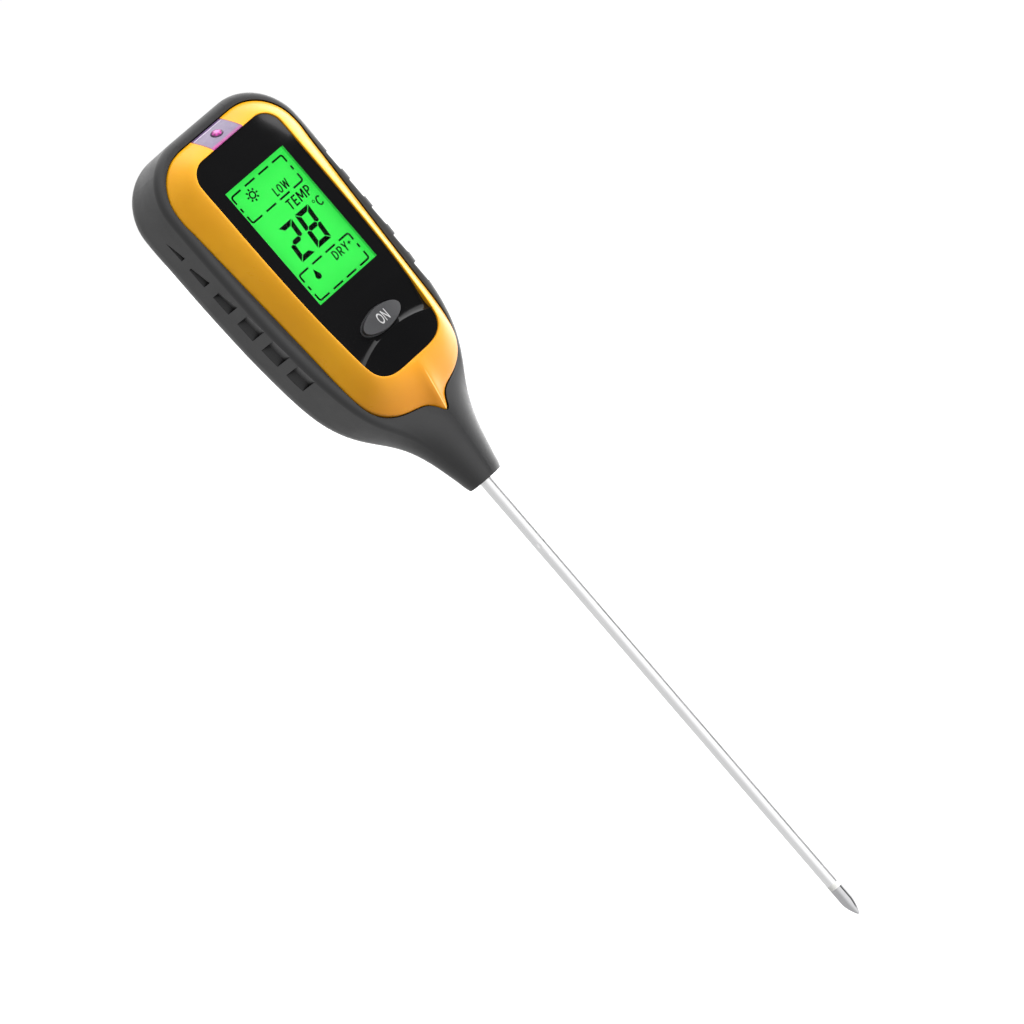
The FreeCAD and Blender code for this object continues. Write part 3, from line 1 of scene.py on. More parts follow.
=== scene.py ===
"""A hand-held probe meter with a yellow bezel, a lit green display and a power key.

It stands along z with its face towards -y and x across it. The script makes the materials,
the raised marks on the display and key, then the floor, camera and light.
"""

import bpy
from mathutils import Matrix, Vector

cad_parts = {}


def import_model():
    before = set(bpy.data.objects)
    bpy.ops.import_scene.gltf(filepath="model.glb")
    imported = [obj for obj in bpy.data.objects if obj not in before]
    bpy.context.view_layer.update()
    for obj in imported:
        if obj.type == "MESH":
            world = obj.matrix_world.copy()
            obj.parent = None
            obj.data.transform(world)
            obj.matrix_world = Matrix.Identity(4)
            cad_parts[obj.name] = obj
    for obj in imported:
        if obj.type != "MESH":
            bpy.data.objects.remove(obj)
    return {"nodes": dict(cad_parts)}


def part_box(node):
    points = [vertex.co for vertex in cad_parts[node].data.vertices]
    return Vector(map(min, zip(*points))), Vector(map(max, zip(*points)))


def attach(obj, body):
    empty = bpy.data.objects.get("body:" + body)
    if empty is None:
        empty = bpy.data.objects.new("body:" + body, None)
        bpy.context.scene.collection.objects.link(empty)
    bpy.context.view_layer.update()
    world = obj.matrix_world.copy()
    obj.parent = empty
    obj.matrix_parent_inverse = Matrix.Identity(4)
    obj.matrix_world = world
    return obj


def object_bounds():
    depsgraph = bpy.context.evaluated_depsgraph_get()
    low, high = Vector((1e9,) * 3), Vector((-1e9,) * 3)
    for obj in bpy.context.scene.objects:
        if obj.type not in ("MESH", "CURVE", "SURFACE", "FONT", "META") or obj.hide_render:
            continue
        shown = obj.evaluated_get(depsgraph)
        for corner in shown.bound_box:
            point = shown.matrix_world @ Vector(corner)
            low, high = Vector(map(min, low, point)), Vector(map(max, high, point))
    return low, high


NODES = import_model()["nodes"]

import bpy
import bmesh
import math
from mathutils import Vector, Matrix
from mathutils.bvhtree import BVHTree

CAD_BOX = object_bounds()
MM = 0.001
WHITE = (1, 1, 1, 1)
MATS = {}


def mm(*values):
    """Millimetres to metres."""
    return tuple(v * MM for v in values)


def srgb(*channels):
    """sRGB 0-255 to a linear colour."""
    out = []
    for c in channels:
        c /= 255.0
        out.append(c / 12.92 if c <= 0.04045 else ((c + 0.055) / 1.055) ** 2.4)
    return (*out, 1.0)


def tone(colour, factor):
    """The colour made lighter or darker."""
    return tuple(min(1, c * factor) for c in colour[:3]) + (1.0,)


# ------------------------------------------------------------------ node helpers
class Graph:
    """A node tree written as plain calls. An input may be a number, a colour or a socket."""

    def __init__(self, owner, output):
        owner.use_nodes = True
        self.tree = owner.node_tree
        self.tree.nodes.clear()
        self.out = self.node(output)

    def put(self, socket, value):
        if isinstance(value, bpy.types.NodeSocket):
            self.tree.links.new(value, socket)
        else:
            socket.default_value = value

    def node(self, kind, **inputs):
        """A new node. Inputs go by name, with underscores for spaces."""
        node = self.tree.nodes.new(kind)
        for name, value in inputs.items():
            self.put(node.inputs[name.replace("_", " ")], value)
        return node

    def math(self, operation, *values):
        node = self.node("ShaderNodeMath")
        node.operation = operation
        for socket, value in zip(node.inputs, values):
            self.put(socket, value)
        return node.outputs[0]

    def mul(self, a, b):
        return self.math("MULTIPLY", a, b)

    def add(self, a, b):
        return self.math("ADD", a, b)

    def larger(self, a, b):
        return self.math("MAXIMUM", a, b)

    def vector_math(self, operation, a, b):
        node = self.node("ShaderNodeVectorMath")
        node.operation = operation
        self.put(node.inputs[0], a)
        self.put(node.inputs[1], b)
        return node.outputs

    def dot(self, a, b):
        return self.vector_math("DOT_PRODUCT", a, b)["Value"]

    def span(self, value, over, to=(0.0, 1.0), smooth=False):
        """Map the range `over` onto the range `to`, clamped."""
        node = self.node("ShaderNodeMapRange", Value=value, From_Min=over[0], From_Max=over[1],
                         To_Min=to[0], To_Max=to[1])
        node.interpolation_type = "SMOOTHSTEP" if smooth else "LINEAR"
        node.clamp = True
        return node.outputs[0]

    def show(self, shader):
        self.put(self.out.inputs["Surface"], shader)


class Mat(Graph):
    """A material in object space. Texture scales are per metre."""

    def __init__(self, name):
        MATS[name] = bpy.data.materials.new(name)
        super().__init__(MATS[name], "ShaderNodeOutputMaterial")
        self.place = self.node("ShaderNodeTexCoord").outputs["Object"]

    def xyz(self, vector=None):
        return self.node("ShaderNodeSeparateXYZ", Vector=vector or self.place).outputs

    def noise(self, scale, detail=3.0, rough=0.55, warp=0.0, vector=None):
        node = self.node("ShaderNodeTexNoise", Vector=vector or self.place, Scale=scale,
                         Detail=detail, Roughness=rough, Distortion=warp)
        return node.outputs["Fac"]

    def streaks(self, stretch, detail=3.0, rough=0.7, warp=0.0):
        """Noise with its own scale on each axis."""
        vector = self.vector_math("MULTIPLY", self.place, stretch)["Vector"]
        return self.noise(1.0, detail, rough, warp, vector)

    def cloud(self, scale, over=(0.3, 0.7), to=(0.0, 1.0), **look):
        """Noise mapped onto a range."""
        return self.span(self.noise(scale, **look), over, to)

    def cells(self, scale, feature="F1", out="Distance"):
        node = self.node("ShaderNodeTexVoronoi", Vector=self.place, Scale=scale)
        node.feature = feature
        return node.outputs[out]

    def specks(self, scale, size, patch_scale, patch_over):
        """Small dots at cell centres, gathered in patches."""
        dots = self.span(self.cells(scale), over=(0.0, size), to=(1.0, 0.0))
        return self.mul(dots, self.cloud(patch_scale, over=patch_over, detail=2))

    def band(self, value, rise, fall):
        """1 between two soft limits, 0 outside."""
        return self.mul(self.span(value, rise), self.span(value, fall, to=(1.0, 0.0)))

    def wave(self, value, period):
        return self.math("SINE", self.mul(value, 2 * math.pi / period))

    def mix(self, amount, a, b):
        node = self.node("ShaderNodeMix")
        node.data_type = "RGBA"
        self.put(node.inputs["Factor"], amount)
        self.put(node.inputs[6], a)
        self.put(node.inputs[7], b)
        return node.outputs[2]

    def bump(self, height, strength, depth, **normal):
        node = self.node("ShaderNodeBump", Height=height, Strength=strength, Distance=depth,
                         **normal)
        return node.outputs[0]

    def bevel(self, radius):
        node = self.node("ShaderNodeBevel", Radius=radius)
        node.samples = 4
        return node.outputs[0]

    def edges(self, soft, over):
        """1 on convex or concave edges, from a rounded normal."""
        flat = self.node("ShaderNodeNewGeometry").outputs["Normal"]
        return self.span(self.math("SUBTRACT", 1.0, self.dot(soft, flat)), over)

    def surface(self, **inputs):
        self.show(self.node("ShaderNodeBsdfPrincipled", **inputs).outputs[0])


def material(build):
    """Decorator: makes the material at once, under the function's name."""
    build(Mat(build.__name__))
    return build


# ------------------------------------------------------------------ moulded plastics
def moulded(name, base, light, rough, grain, grain_mm, worn, wear,
            mottling=0.10, coat=0.0, painted_recess_shade=0.0):
    """Moulded plastic: fine grain, slow colour drift, rubbed edges, handling marks, and optional
    painted shade in recesses.
    """
    m = Mat(name)
    fine = m.noise(1000.0 / grain_mm, detail=2, rough=0.6)
    cells = m.cells(620.0 / grain_mm)
    soft = m.bevel(0.18 * MM)
    rubbed = m.mul(m.edges(soft, over=(0.03, 0.30)), m.cloud(260, over=(0.40, 0.62), rough=0.6))
    colour = m.mix(m.cloud(38, detail=4, rough=0.6), base, light)
    colour = m.mix(m.mul(m.span(fine, over=(0.35, 0.75)), mottling), colour, tone(base, 1.8))
    colour = m.mix(m.mul(rubbed, wear), colour, worn)
    gloss = m.cloud(95, over=(0.32, 0.72), to=(rough - 0.055, rough + 0.06),
                    detail=5, rough=0.62, warp=0.6)
    gloss = m.add(gloss, m.span(cells, over=(0.0, 0.8), to=(-0.03, 0.03)))
    relief = m.add(fine, m.mul(cells, 0.7))
    normal = m.bump(relief, strength=grain, depth=0.00006 * grain_mm / 0.25, Normal=soft)
    specular = 0.5
    if painted_recess_shade:
        # painted shade: recesses, found by ambient occlusion, are darkened in the colour and
        # lose their shine
        recess_occlusion = m.node("ShaderNodeAmbientOcclusion", Distance=7.5 * MM)
        recess_occlusion.samples = 6
        recess_occlusion.only_local = True
        recess_shade = m.span(recess_occlusion.outputs["AO"], over=(0.62, 0.975), to=(1.0, 0.0))
        colour = m.mix(m.mul(recess_shade, painted_recess_shade), colour, srgb(12, 12, 12))
        specular = m.span(recess_shade, over=(0.0, 1.0), to=(specular, specular * (1.0 - painted_recess_shade)))
    m.surface(Base_Color=colour, Roughness=gloss, Normal=normal, Specular_IOR_Level=specular,
              Coat_Weight=coat, Coat_Roughness=0.18)


# the housing gets painted shade in its recesses
moulded("housing_plastic", base=srgb(38, 38, 39), light=srgb(43, 43, 44), rough=0.37, grain=0.20,
        grain_mm=0.26, worn=srgb(96, 96, 98), wear=0.30, mottling=0.06, painted_recess_shade=0.92)
moulded("door_plastic", base=srgb(36, 36, 37), light=srgb(41, 41, 42), rough=0.45, grain=0.26,
        grain_mm=0.26, worn=srgb(94, 94, 96), wear=0.38, mottling=0.06)
moulded("key_plastic", base=srgb(52, 52, 54), light=srgb(60, 60, 62), rough=0.38, grain=0.16,
        grain_mm=0.20, worn=srgb(170, 170, 172), wear=0.35, coat=0.06)
moulded("holder_plastic", base=srgb(222, 222, 218), light=srgb(232, 231, 226), rough=0.46,
        grain=0.15, grain_mm=0.22, worn=srgb(245, 245, 243), wear=0.3)
moulded("snap_plastic", base=srgb(26, 26, 27), light=srgb(33, 33, 34), rough=0.5, grain=0.25,
        grain_mm=0.24, worn=srgb(70, 70, 72), wear=0.3)
moulded("bush_plastic", base=srgb(196, 192, 180), light=srgb(208, 204, 193), rough=0.42,
        grain=0.15, grain_mm=0.24, worn=srgb(225, 222, 214), wear=0.3)


@material
def bezel_plastic(m):
    """Yellow satin plastic: fine moulding swirl, painted shade darkening the lower end, painted
    highlights along the crests and the centre ridge.
    """
    soft = m.bevel(0.16 * MM)
    flow = m.streaks((70, 70, 34), detail=4, rough=0.6, warp=1.2)
    colour = m.mix(m.cloud(30, over=(0.32, 0.68), detail=4, rough=0.6),
                   srgb(237, 164, 12), srgb(243, 174, 20))
    colour = m.mix(m.span(flow, over=(0.45, 0.75), to=(0, 0.2)), colour, srgb(244, 178, 42))
    x, y, z = m.xyz()
    # painted shade: darker orange towards the lower end, where less light falls
    low = m.span(z, over=mm(27.0, 66.0), to=(0.60, 0.0), smooth=True)
    colour = m.mix(low, colour, srgb(200, 112, 2))
    # painted highlight: light yellow along the rounded edges, as if they catch the light
    crest_highlight = m.mul(m.edges(soft, over=(0.02, 0.22)), m.cloud(300, over=(0.3, 0.6), to=(0.7, 1.0)))
    # painted highlight along the ridge on the centre line, at the bezel's lower end
    ridge_highlight = m.mul(m.span(m.math("ABSOLUTE", x), over=mm(0.10, 0.34), to=(1.0, 0.0), smooth=True),
                  m.span(z, over=mm(37.0, 41.5), to=(1.0, 0.0)))
    crest_highlight = m.larger(crest_highlight, m.mul(ridge_highlight, 0.9))
    colour = m.mix(m.mul(crest_highlight, 0.75), colour, srgb(255, 220, 128))
    m.surface(Base_Color=colour,
              Roughness=m.cloud(110, to=(0.27, 0.36), detail=5, rough=0.62, warp=0.5),
              Normal=m.bump(m.noise(4200, detail=2, rough=0.6), strength=0.10, depth=0.05 * MM,
                            Normal=soft),
              Specular_IOR_Level=0.36, Subsurface_Weight=0.06,
              Subsurface_Radius=mm(1.2, 0.7, 0.2), Coat_Weight=0.05, Coat_Roughness=0.12)


# ------------------------------------------------------------------ panel, windows, display
@material
def panel_gloss(m):
    """Glossy black panel: clear coat, hairline wipe marks both ways, a few dust specks."""
    upright = m.streaks((5200, 400, 160), warp=0.3)
    level = m.streaks((260, 400, 5600), warp=0.3)
    wipe = m.larger(m.span(upright, over=(0.68, 0.80)), m.span(level, over=(0.70, 0.82)))
    wipe = m.mul(wipe, m.cloud(70, over=(0.45, 0.65)))
    dust = m.specks(900, size=0.07, patch_scale=210, patch_over=(0.56, 0.64))
    colour = m.mix(m.cloud(26), srgb(14, 14, 15), srgb(18, 18, 19))
    colour = m.mix(m.mul(dust, 0.25), colour, srgb(120, 120, 118))
    gloss = m.cloud(48, over=(0.3, 0.75), to=(0.045, 0.105), detail=5, rough=0.65, warp=0.8)
    m.surface(Base_Color=colour, Roughness=m.add(gloss, m.mul(wipe, 0.10)),
              Normal=m.bevel(0.12 * MM), Specular_IOR_Level=0.40, Coat_Weight=0.25,
              Coat_Roughness=0.03)


@material
def window_clear(m):
    """Clear window over the display, with upright hairlines."""
    hair = m.span(m.streaks((4200, 400, 130), warp=0.3), over=(0.72, 0.84))
    gloss = m.cloud(60, over=(0.4, 0.8), to=(0.0, 0.012), detail=4, rough=0.6)
    tint = m.mix(m.cloud(40), (0.985, 0.992, 0.985, 1), (0.965, 0.985, 0.97, 1))
    m.surface(Base_Color=tint, Roughness=m.add(gloss, m.mul(hair, 0.03)),
              Transmission_Weight=1.0, IOR=1.12, Specular_IOR_Level=0.5)


@material
def display_green(m):
    """Lit display cell: even green, a little weaker towards the rim, with a faint grid."""
    half_width, half_height, centre_z = mm(14.3, 23.6, 102.8)
    grid = 0.30 * MM
    x, y, z = m.xyz()
    off_x = m.math("ABSOLUTE", m.math("DIVIDE", x, half_width))
    off_z = m.math("ABSOLUTE", m.math("DIVIDE", m.math("SUBTRACT", z, centre_z), half_height))
    rim = m.larger(m.math("POWER", off_x, 6.0), m.math("POWER", off_z, 9.0))
    cloud = m.noise(46, rough=0.5)
    weave = m.mul(m.wave(x, grid), m.wave(z, grid))
    level = m.add(m.span(cloud, over=(0.3, 0.7), to=(0.985, 1.01)), m.mul(weave, 0.012))
    level = m.math("SUBTRACT", level, m.mul(rim, 0.10))
    green = m.mix(rim, srgb(58, 249, 84), srgb(50, 232, 76))
    green = m.mix(m.cloud(90, over=(0.35, 0.7), to=(0.0, 0.2), detail=2), green,
                  srgb(66, 250, 92))
    m.surface(Base_Color=srgb(8, 40, 14), Specular_IOR_Level=0.06,
              Roughness=m.span(cloud, over=(0.3, 0.7), to=(0.30, 0.38)),
              Emission_Color=green, Emission_Strength=m.mul(level, 0.98))


@material
def display_dark(m):
    """Dark display segments."""
    colour = m.mix(m.cloud(500, over=(0.35, 0.7), detail=2), srgb(1, 6, 2), srgb(3, 11, 4))
    m.surface(Base_Color=colour, Roughness=m.cloud(220, to=(0.55, 0.7), detail=2),
              Specular_IOR_Level=0.03)


@material
def key_print(m):
    """Pale print on the key."""
    m.surface(Base_Color=m.mix(m.cloud(900), srgb(168, 168, 169), srgb(186, 186, 186)),
              Roughness=m.cloud(600, to=(0.45, 0.6), detail=2),
              Normal=m.bump(m.noise(5000, detail=2), strength=0.1, depth=0.03 * MM))


@material
def window_lilac(m):
    """Tinted light window: magenta foot, pale line near the top, reddish ends."""
    x, y, z = m.xyz()
    foot = m.mul(m.span(z, over=mm(140.35, 140.75), to=(1.0, 0.0)),
                 m.span(x, over=mm(-7.0, 5.0), to=(1.0, 0.55)))
    top_line = m.band(z, rise=mm(145.62, 145.72), fall=mm(145.86, 145.96))
    ends = m.span(m.math("ABSOLUTE", x), over=mm(6.75, 6.95))
    colour = m.mix(m.cloud(420, detail=4, rough=0.6, warp=0.8),
                   srgb(110, 92, 128), srgb(128, 107, 144))
    colour = m.mix(top_line, colour, srgb(226, 210, 232))
    colour = m.mix(ends, colour, srgb(150, 74, 92))
    colour = m.mix(foot, colour, m.mix(m.cloud(900), srgb(170, 40, 130), srgb(196, 66, 156)))
    m.surface(Base_Color=colour, Roughness=m.cloud(160, to=(0.10, 0.2), detail=4),
              Normal=m.bevel(0.10 * MM), Subsurface_Weight=0.2,
              Subsurface_Radius=mm(1.5, 0.6, 1.4), Coat_Weight=0.6, Coat_Roughness=0.04,
              Transmission_Weight=0.12, IOR=1.49)


@material
def sensor_magenta(m):
    """Magenta sensor lens: six soft facets round a painted pale highlight at the centre, and a
    dark ring.
    """
    centre_y, centre_z = mm(-13.6, 143.1)
    x, y, z = m.xyz()
    # distance from the centre across the tilted lens; the factors are its slope in y and z
    across = m.add(m.mul(m.add(y, -centre_y), 0.740),
                   m.mul(m.math("SUBTRACT", z, centre_z), 0.673))
    radius = m.math("SQRT", m.add(m.mul(x, x), m.mul(across, across)))
    angle = m.math("ARCTAN2", x, across)
    petal = m.add(m.mul(m.math("SINE", m.mul(angle, 6.0)), 0.5), 0.5)
    centre_highlight = m.span(radius, over=mm(0.55, 1.35), to=(1.0, 0.0))
    colour = m.mix(m.mul(petal, m.span(radius, over=mm(0.4, 0.8))),
                   srgb(196, 38, 156), srgb(128, 14, 104))
    # painted highlight: pale pink at the centre of the lens
    colour = m.mix(m.mul(centre_highlight, 0.6), colour, srgb(238, 150, 214))
    colour = m.mix(m.span(radius, over=mm(1.62, 1.80)), colour, srgb(66, 12, 66))
    facets = m.mul(petal, m.span(radius, over=mm(0.3, 1.2)))
    m.surface(Base_Color=colour, Roughness=m.cloud(700, to=(0.05, 0.12), detail=2),
              Normal=m.bump(facets, strength=0.5, depth=0.2 * MM), Coat_Weight=0.3,
              Coat_Roughness=0.06, Subsurface_Weight=0.1, Subsurface_Radius=mm(0.8, 0.2, 0.6))


# ------------------------------------------------------------------ metals
def brushed(name, tint, rough, stretch, pit_scale, strength, pits=0.35,
            rim_over=None, painted_dark_rim=0.0, painted_rim_metal=None):
    """Drawn or turned metal: fine lines, tiny pits, drifting gloss, and a painted dark rim where
    asked.

    rim_over is the range of facing angles over which a painted dark reflection darkens the edge
    by painted_dark_rim;
    painted_rim_metal is the metallic value reached there, so the painted dark rim reflects less
    too.
    """
    m = Mat(name)
    lines = m.streaks(stretch, detail=4)
    fine = m.streaks([s * 2.7 for s in stretch])
    drift = m.noise(42, detail=4, rough=0.6)
    pit = m.specks(pit_scale, size=0.09, patch_scale=90, patch_over=(0.52, 0.62))
    colour = m.mix(m.span(drift, over=(0.3, 0.7)), tint, tone(tint, 0.93))
    colour = m.mix(m.span(lines, over=(0.45, 0.8), to=(0.0, 0.35)), colour, tone(tint, 0.72))
    colour = m.mix(m.mul(pit, pits), colour, tone(tint, 0.35))
    gloss = m.add(m.span(drift, over=(0.3, 0.7), to=(rough - 0.04, rough + 0.05)),
                  m.span(fine, over=(0.3, 0.8), to=(-0.05, 0.09)))
    relief = m.math("SUBTRACT", m.add(lines, m.mul(fine, 0.5)), m.mul(pit, 1.5))
    metal, specular = 1.0, 0.5
    if rim_over:
        # painted dark reflection: the colour goes dark where the surface is seen edge-on
        facing = m.node("ShaderNodeLayerWeight", Blend=0.5).outputs["Facing"]
        colour = m.mix(m.span(facing, rim_over, to=(0.0, painted_dark_rim), smooth=True), colour,
                       (0.05, 0.05, 0.055, 1))
        if painted_rim_metal:
            metal = m.span(facing, rim_over, to=(1.0, painted_rim_metal), smooth=True)
            specular = m.span(facing, rim_over, to=(0.5, 0.5 * painted_rim_metal), smooth=True)
    m.surface(Base_Color=colour, Metallic=metal, Roughness=gloss, Specular_IOR_Level=specular,
              Normal=m.bump(relief, strength=strength, depth=0.03 * MM))


# the probe and the tip get a painted dark reflection along their edges
brushed("probe_steel", tint=(0.86, 0.86, 0.865, 1), rough=0.27, stretch=(3800, 3800, 45),
        pit_scale=620, strength=0.16, pits=0.3, rim_over=(0.82, 0.98), painted_dark_rim=0.22)
brushed("tip_steel", tint=(0.52, 0.52, 0.53, 1), rough=0.10, stretch=(300, 300, 5200),
        pit_scale=800, strength=0.08, pits=0.2, rim_over=(0.70, 0.90), painted_dark_rim=0.92,
        painted_rim_metal=0.25)
brushed("screw_steel", tint=(0.55, 0.55, 0.56, 1), rough=0.30, stretch=(2600, 2600, 2600),
        pit_scale=1500, strength=0.15)
brushed("contact_metal", tint=(0.78, 0.74, 0.62, 1), rough=0.26, stretch=(2200, 2200, 2200),
        pit_scale=1300, strength=0.12)
brushed("copper_core", tint=(0.86, 0.45, 0.28, 1), rough=0.30, stretch=(3000, 3000, 80),
        pit_scale=900, strength=0.15)


# ------------------------------------------------------------------ inner parts
def simple(name, first, second, rough, scale, grain=0.1, depth=0.04 * MM, **extra):
    """Two close colours mixed by cloud noise, with fine relief and drifting roughness."""
    m = Mat(name)
    m.surface(Base_Color=m.mix(m.cloud(scale, detail=4, rough=0.6), first, second),
              Roughness=m.cloud(scale * 1.7, to=(rough - 0.05, rough + 0.06),
                                detail=4, rough=0.6),
              Normal=m.bump(m.noise(3800), strength=grain, depth=depth), **extra)


# painted light: the insulator glows faintly white, though it is no lamp
simple("insulator_white", srgb(232, 232, 228), srgb(241, 241, 238), rough=0.30, scale=160,
       Transmission_Weight=0.08, Emission_Color=(1, 1, 0.98, 1), Emission_Strength=0.16,
       Subsurface_Weight=0.2, Subsurface_Radius=mm(1, 1, 1))
simple("silicone_grey", srgb(186, 188, 192), srgb(200, 202, 206), rough=0.55, scale=120,
       Subsurface_Weight=0.2, Subsurface_Radius=mm(1, 1, 1))
simple("chip_black", srgb(24, 24, 25), srgb(33, 33, 34), rough=0.55, scale=260, grain=0.25)
simple("gasket_foam", srgb(22, 22, 23), srgb(34, 34, 35), rough=0.85, scale=300, grain=0.7,
       depth=0.1 * MM)
simple("backlight_acrylic", srgb(226, 240, 226), srgb(240, 248, 240), rough=0.25, scale=90,
       Transmission_Weight=0.5)


@material
def zebra_rubber(m):
    """Fine dark and pale layers side by side."""
    x, y, z = m.xyz()
    layers = m.wave(x, 0.5 * MM)
    colour = m.mix(m.span(layers, over=(-0.2, 0.2)), srgb(196, 120, 128), srgb(30, 30, 31))
    m.surface(Base_Color=colour, Roughness=m.cloud(300, to=(0.5, 0.65)),
              Normal=m.bump(layers, strength=0.2, depth=0.03 * MM))


@material
def circuit_board(m):
    """Solder mask over tracks, with pads."""
    x, y, z = m.xyz()
    face = m.node("ShaderNodeCombineXYZ", X=x, Y=z, Z=0.0).outputs[0]
    brick = m.node("ShaderNodeTexBrick", Vector=face, Scale=190.0, Mortar_Size=0.055)
    brick.offset = 0.5
    cell_edge = m.cells(340, feature="DISTANCE_TO_EDGE")
    track = m.larger(m.span(brick.outputs["Fac"], over=(0.1, 0.5)),
                     m.span(cell_edge, over=(0.02, 0.03), to=(1.0, 0.0)))
    colour = m.mix(track, srgb(18, 74, 42), srgb(34, 112, 62))
    pads = m.specks(420, size=0.16, patch_scale=120, patch_over=(0.5, 0.56))
    colour = m.mix(m.span(pads, over=(0.3, 0.6)), colour, srgb(196, 190, 170))
    m.surface(Base_Color=colour, Roughness=m.span(track, over=(0, 1), to=(0.32, 0.24)),
              Normal=m.bump(track, strength=0.25, depth=0.04 * MM))


@material
def component_mix(m):
    """Small components: three colours by place."""
    ramp = m.node("ShaderNodeValToRGB", Fac=m.xyz(m.cells(130, out="Color"))[0])
    ramp.color_ramp.interpolation = "CONSTANT"
    stops = ramp.color_ramp.elements
    stops.new(0.5)
    colours = ((0.0, srgb(172, 142, 98)), (0.4, srgb(40, 40, 42)), (0.7, srgb(198, 190, 176)))
    for stop, (position, colour) in zip(stops, colours):
        stop.position = position
        stop.color = colour
    flecks = m.cloud(900, over=(0.55, 0.6), detail=2)
    m.surface(Base_Color=m.mix(m.mul(flecks, 0.3), ramp.outputs[0], srgb(210, 210, 208)),
              Roughness=m.cloud(500, to=(0.3, 0.45)),
              Normal=m.bump(m.noise(3000), strength=0.1, depth=0.04 * MM))


@material
def battery_sleeve(m):
    """Two-tone sleeve: dark below, metallic copper above, a pale line under the join."""
    x, y, z = m.xyz()
    upper = m.span(z, over=mm(84.0, 84.3))
    line = m.band(z, rise=mm(82.6, 82.7), fall=mm(83.3, 83.4))
    colour = m.mix(upper, srgb(36, 38, 44), srgb(176, 122, 62))
    colour = m.mix(line, colour, srgb(214, 214, 210))
    colour = m.mix(m.cloud(160, over=(0.35, 0.75), to=(0, 0.25), detail=4), colour,
                   srgb(70, 72, 78))
    m.surface(Base_Color=colour, Metallic=m.span(upper, over=(0, 1), to=(0.1, 0.7)),
              Roughness=m.cloud(70, to=(0.28, 0.4), detail=4),
              Normal=m.bump(m.noise(300), strength=0.06, depth=0.2 * MM))


@material
def lead_pair(m):
    """Red and black leads; red is the +x one of each pair."""
    x, y, z = m.xyz()
    outer_red = m.span(x, over=mm(-8.7, -8.6))
    outer = m.span(m.math("ABSOLUTE", x), over=mm(5.0, 5.05))
    middle_red = m.span(x, over=mm(-0.02, 0.02))
    red = m.add(m.mul(outer, outer_red), m.mul(m.math("SUBTRACT", 1.0, outer), middle_red))
    colour = m.mix(red, srgb(24, 24, 26), srgb(176, 24, 22))
    colour = m.mix(m.cloud(500, over=(0.4, 0.8), to=(0, 0.2)), colour, srgb(120, 110, 108))
    m.surface(Base_Color=colour, Roughness=m.cloud(200, to=(0.34, 0.46)),
              Normal=m.bump(m.noise(2600), strength=0.08, depth=0.04 * MM))


# piece: material
USE = {
    "main_housing": "housing_plastic", "rear_cover": "housing_plastic",
    "battery_door": "door_plastic", "front_bezel": "bezel_plastic",
    "face_panel": "panel_gloss", "display_window": "window_clear",
    "light_window": "window_lilac", "light_sensor": "sensor_magenta",
    "sensor_leads": "contact_metal", "panel_gasket": "gasket_foam",
    "power_button": "key_plastic", "key_dome": "silicone_grey",
    "lcd_glass": "display_green", "lcd_backlight": "backlight_acrylic",
    "lcd_holder": "holder_plastic", "zebra_connector": "zebra_rubber",
    "main_board": "circuit_board", "board_screws": "screw_steel",
    "controller_chip": "chip_black", "circuit_components": "component_mix",
    "battery": "battery_sleeve", "battery_terminals": "contact_metal",
    "battery_snap": "snap_plastic", "battery_leads": "lead_pair",
    "probe_shaft": "probe_steel", "probe_insulator": "insulator_white",
    "probe_tip": "tip_steel", "probe_core": "copper_core",
    "probe_liner": "insulator_white", "temperature_sensor": "chip_black",
    "neck_bush": "bush_plastic", "probe_collar": "screw_steel",
    "ground_washer": "screw_steel", "probe_leads": "lead_pair", "case_screws": "screw_steel",
}
for name, piece in NODES.items():
    if piece.material_slots:
        for slot in piece.material_slots:
            slot.material = MATS[USE[name]]
    else:
        piece.data.materials.append(MATS[USE[name]])


# ------------------------------------------------------------------ flat marks
def link(name, data):
    """A new object in the scene."""
    thing = bpy.data.objects.new(name, data)
    bpy.context.scene.collection.objects.link(thing)
    return thing


def mesh_object(name, bm, material_name):
    mesh = bpy.data.meshes.new(name)
    bm.to_mesh(mesh)
    bm.free()
    mesh.materials.append(MATS[material_name])
    return link(name, mesh)


def ellipse(cx, cz, rx, rz, start, end, steps):
    """Points from one angle to another, in degrees."""
    angles = [math.radians(start + (end - start) * i / steps) for i in range(steps + 1)]
    return [(cx + rx * math.cos(a), cz + rz * math.sin(a)) for a in angles]


def arc(cx, cz, radius, start, end, steps=8):
    return ellipse(cx, cz, radius, radius, start, end, steps)


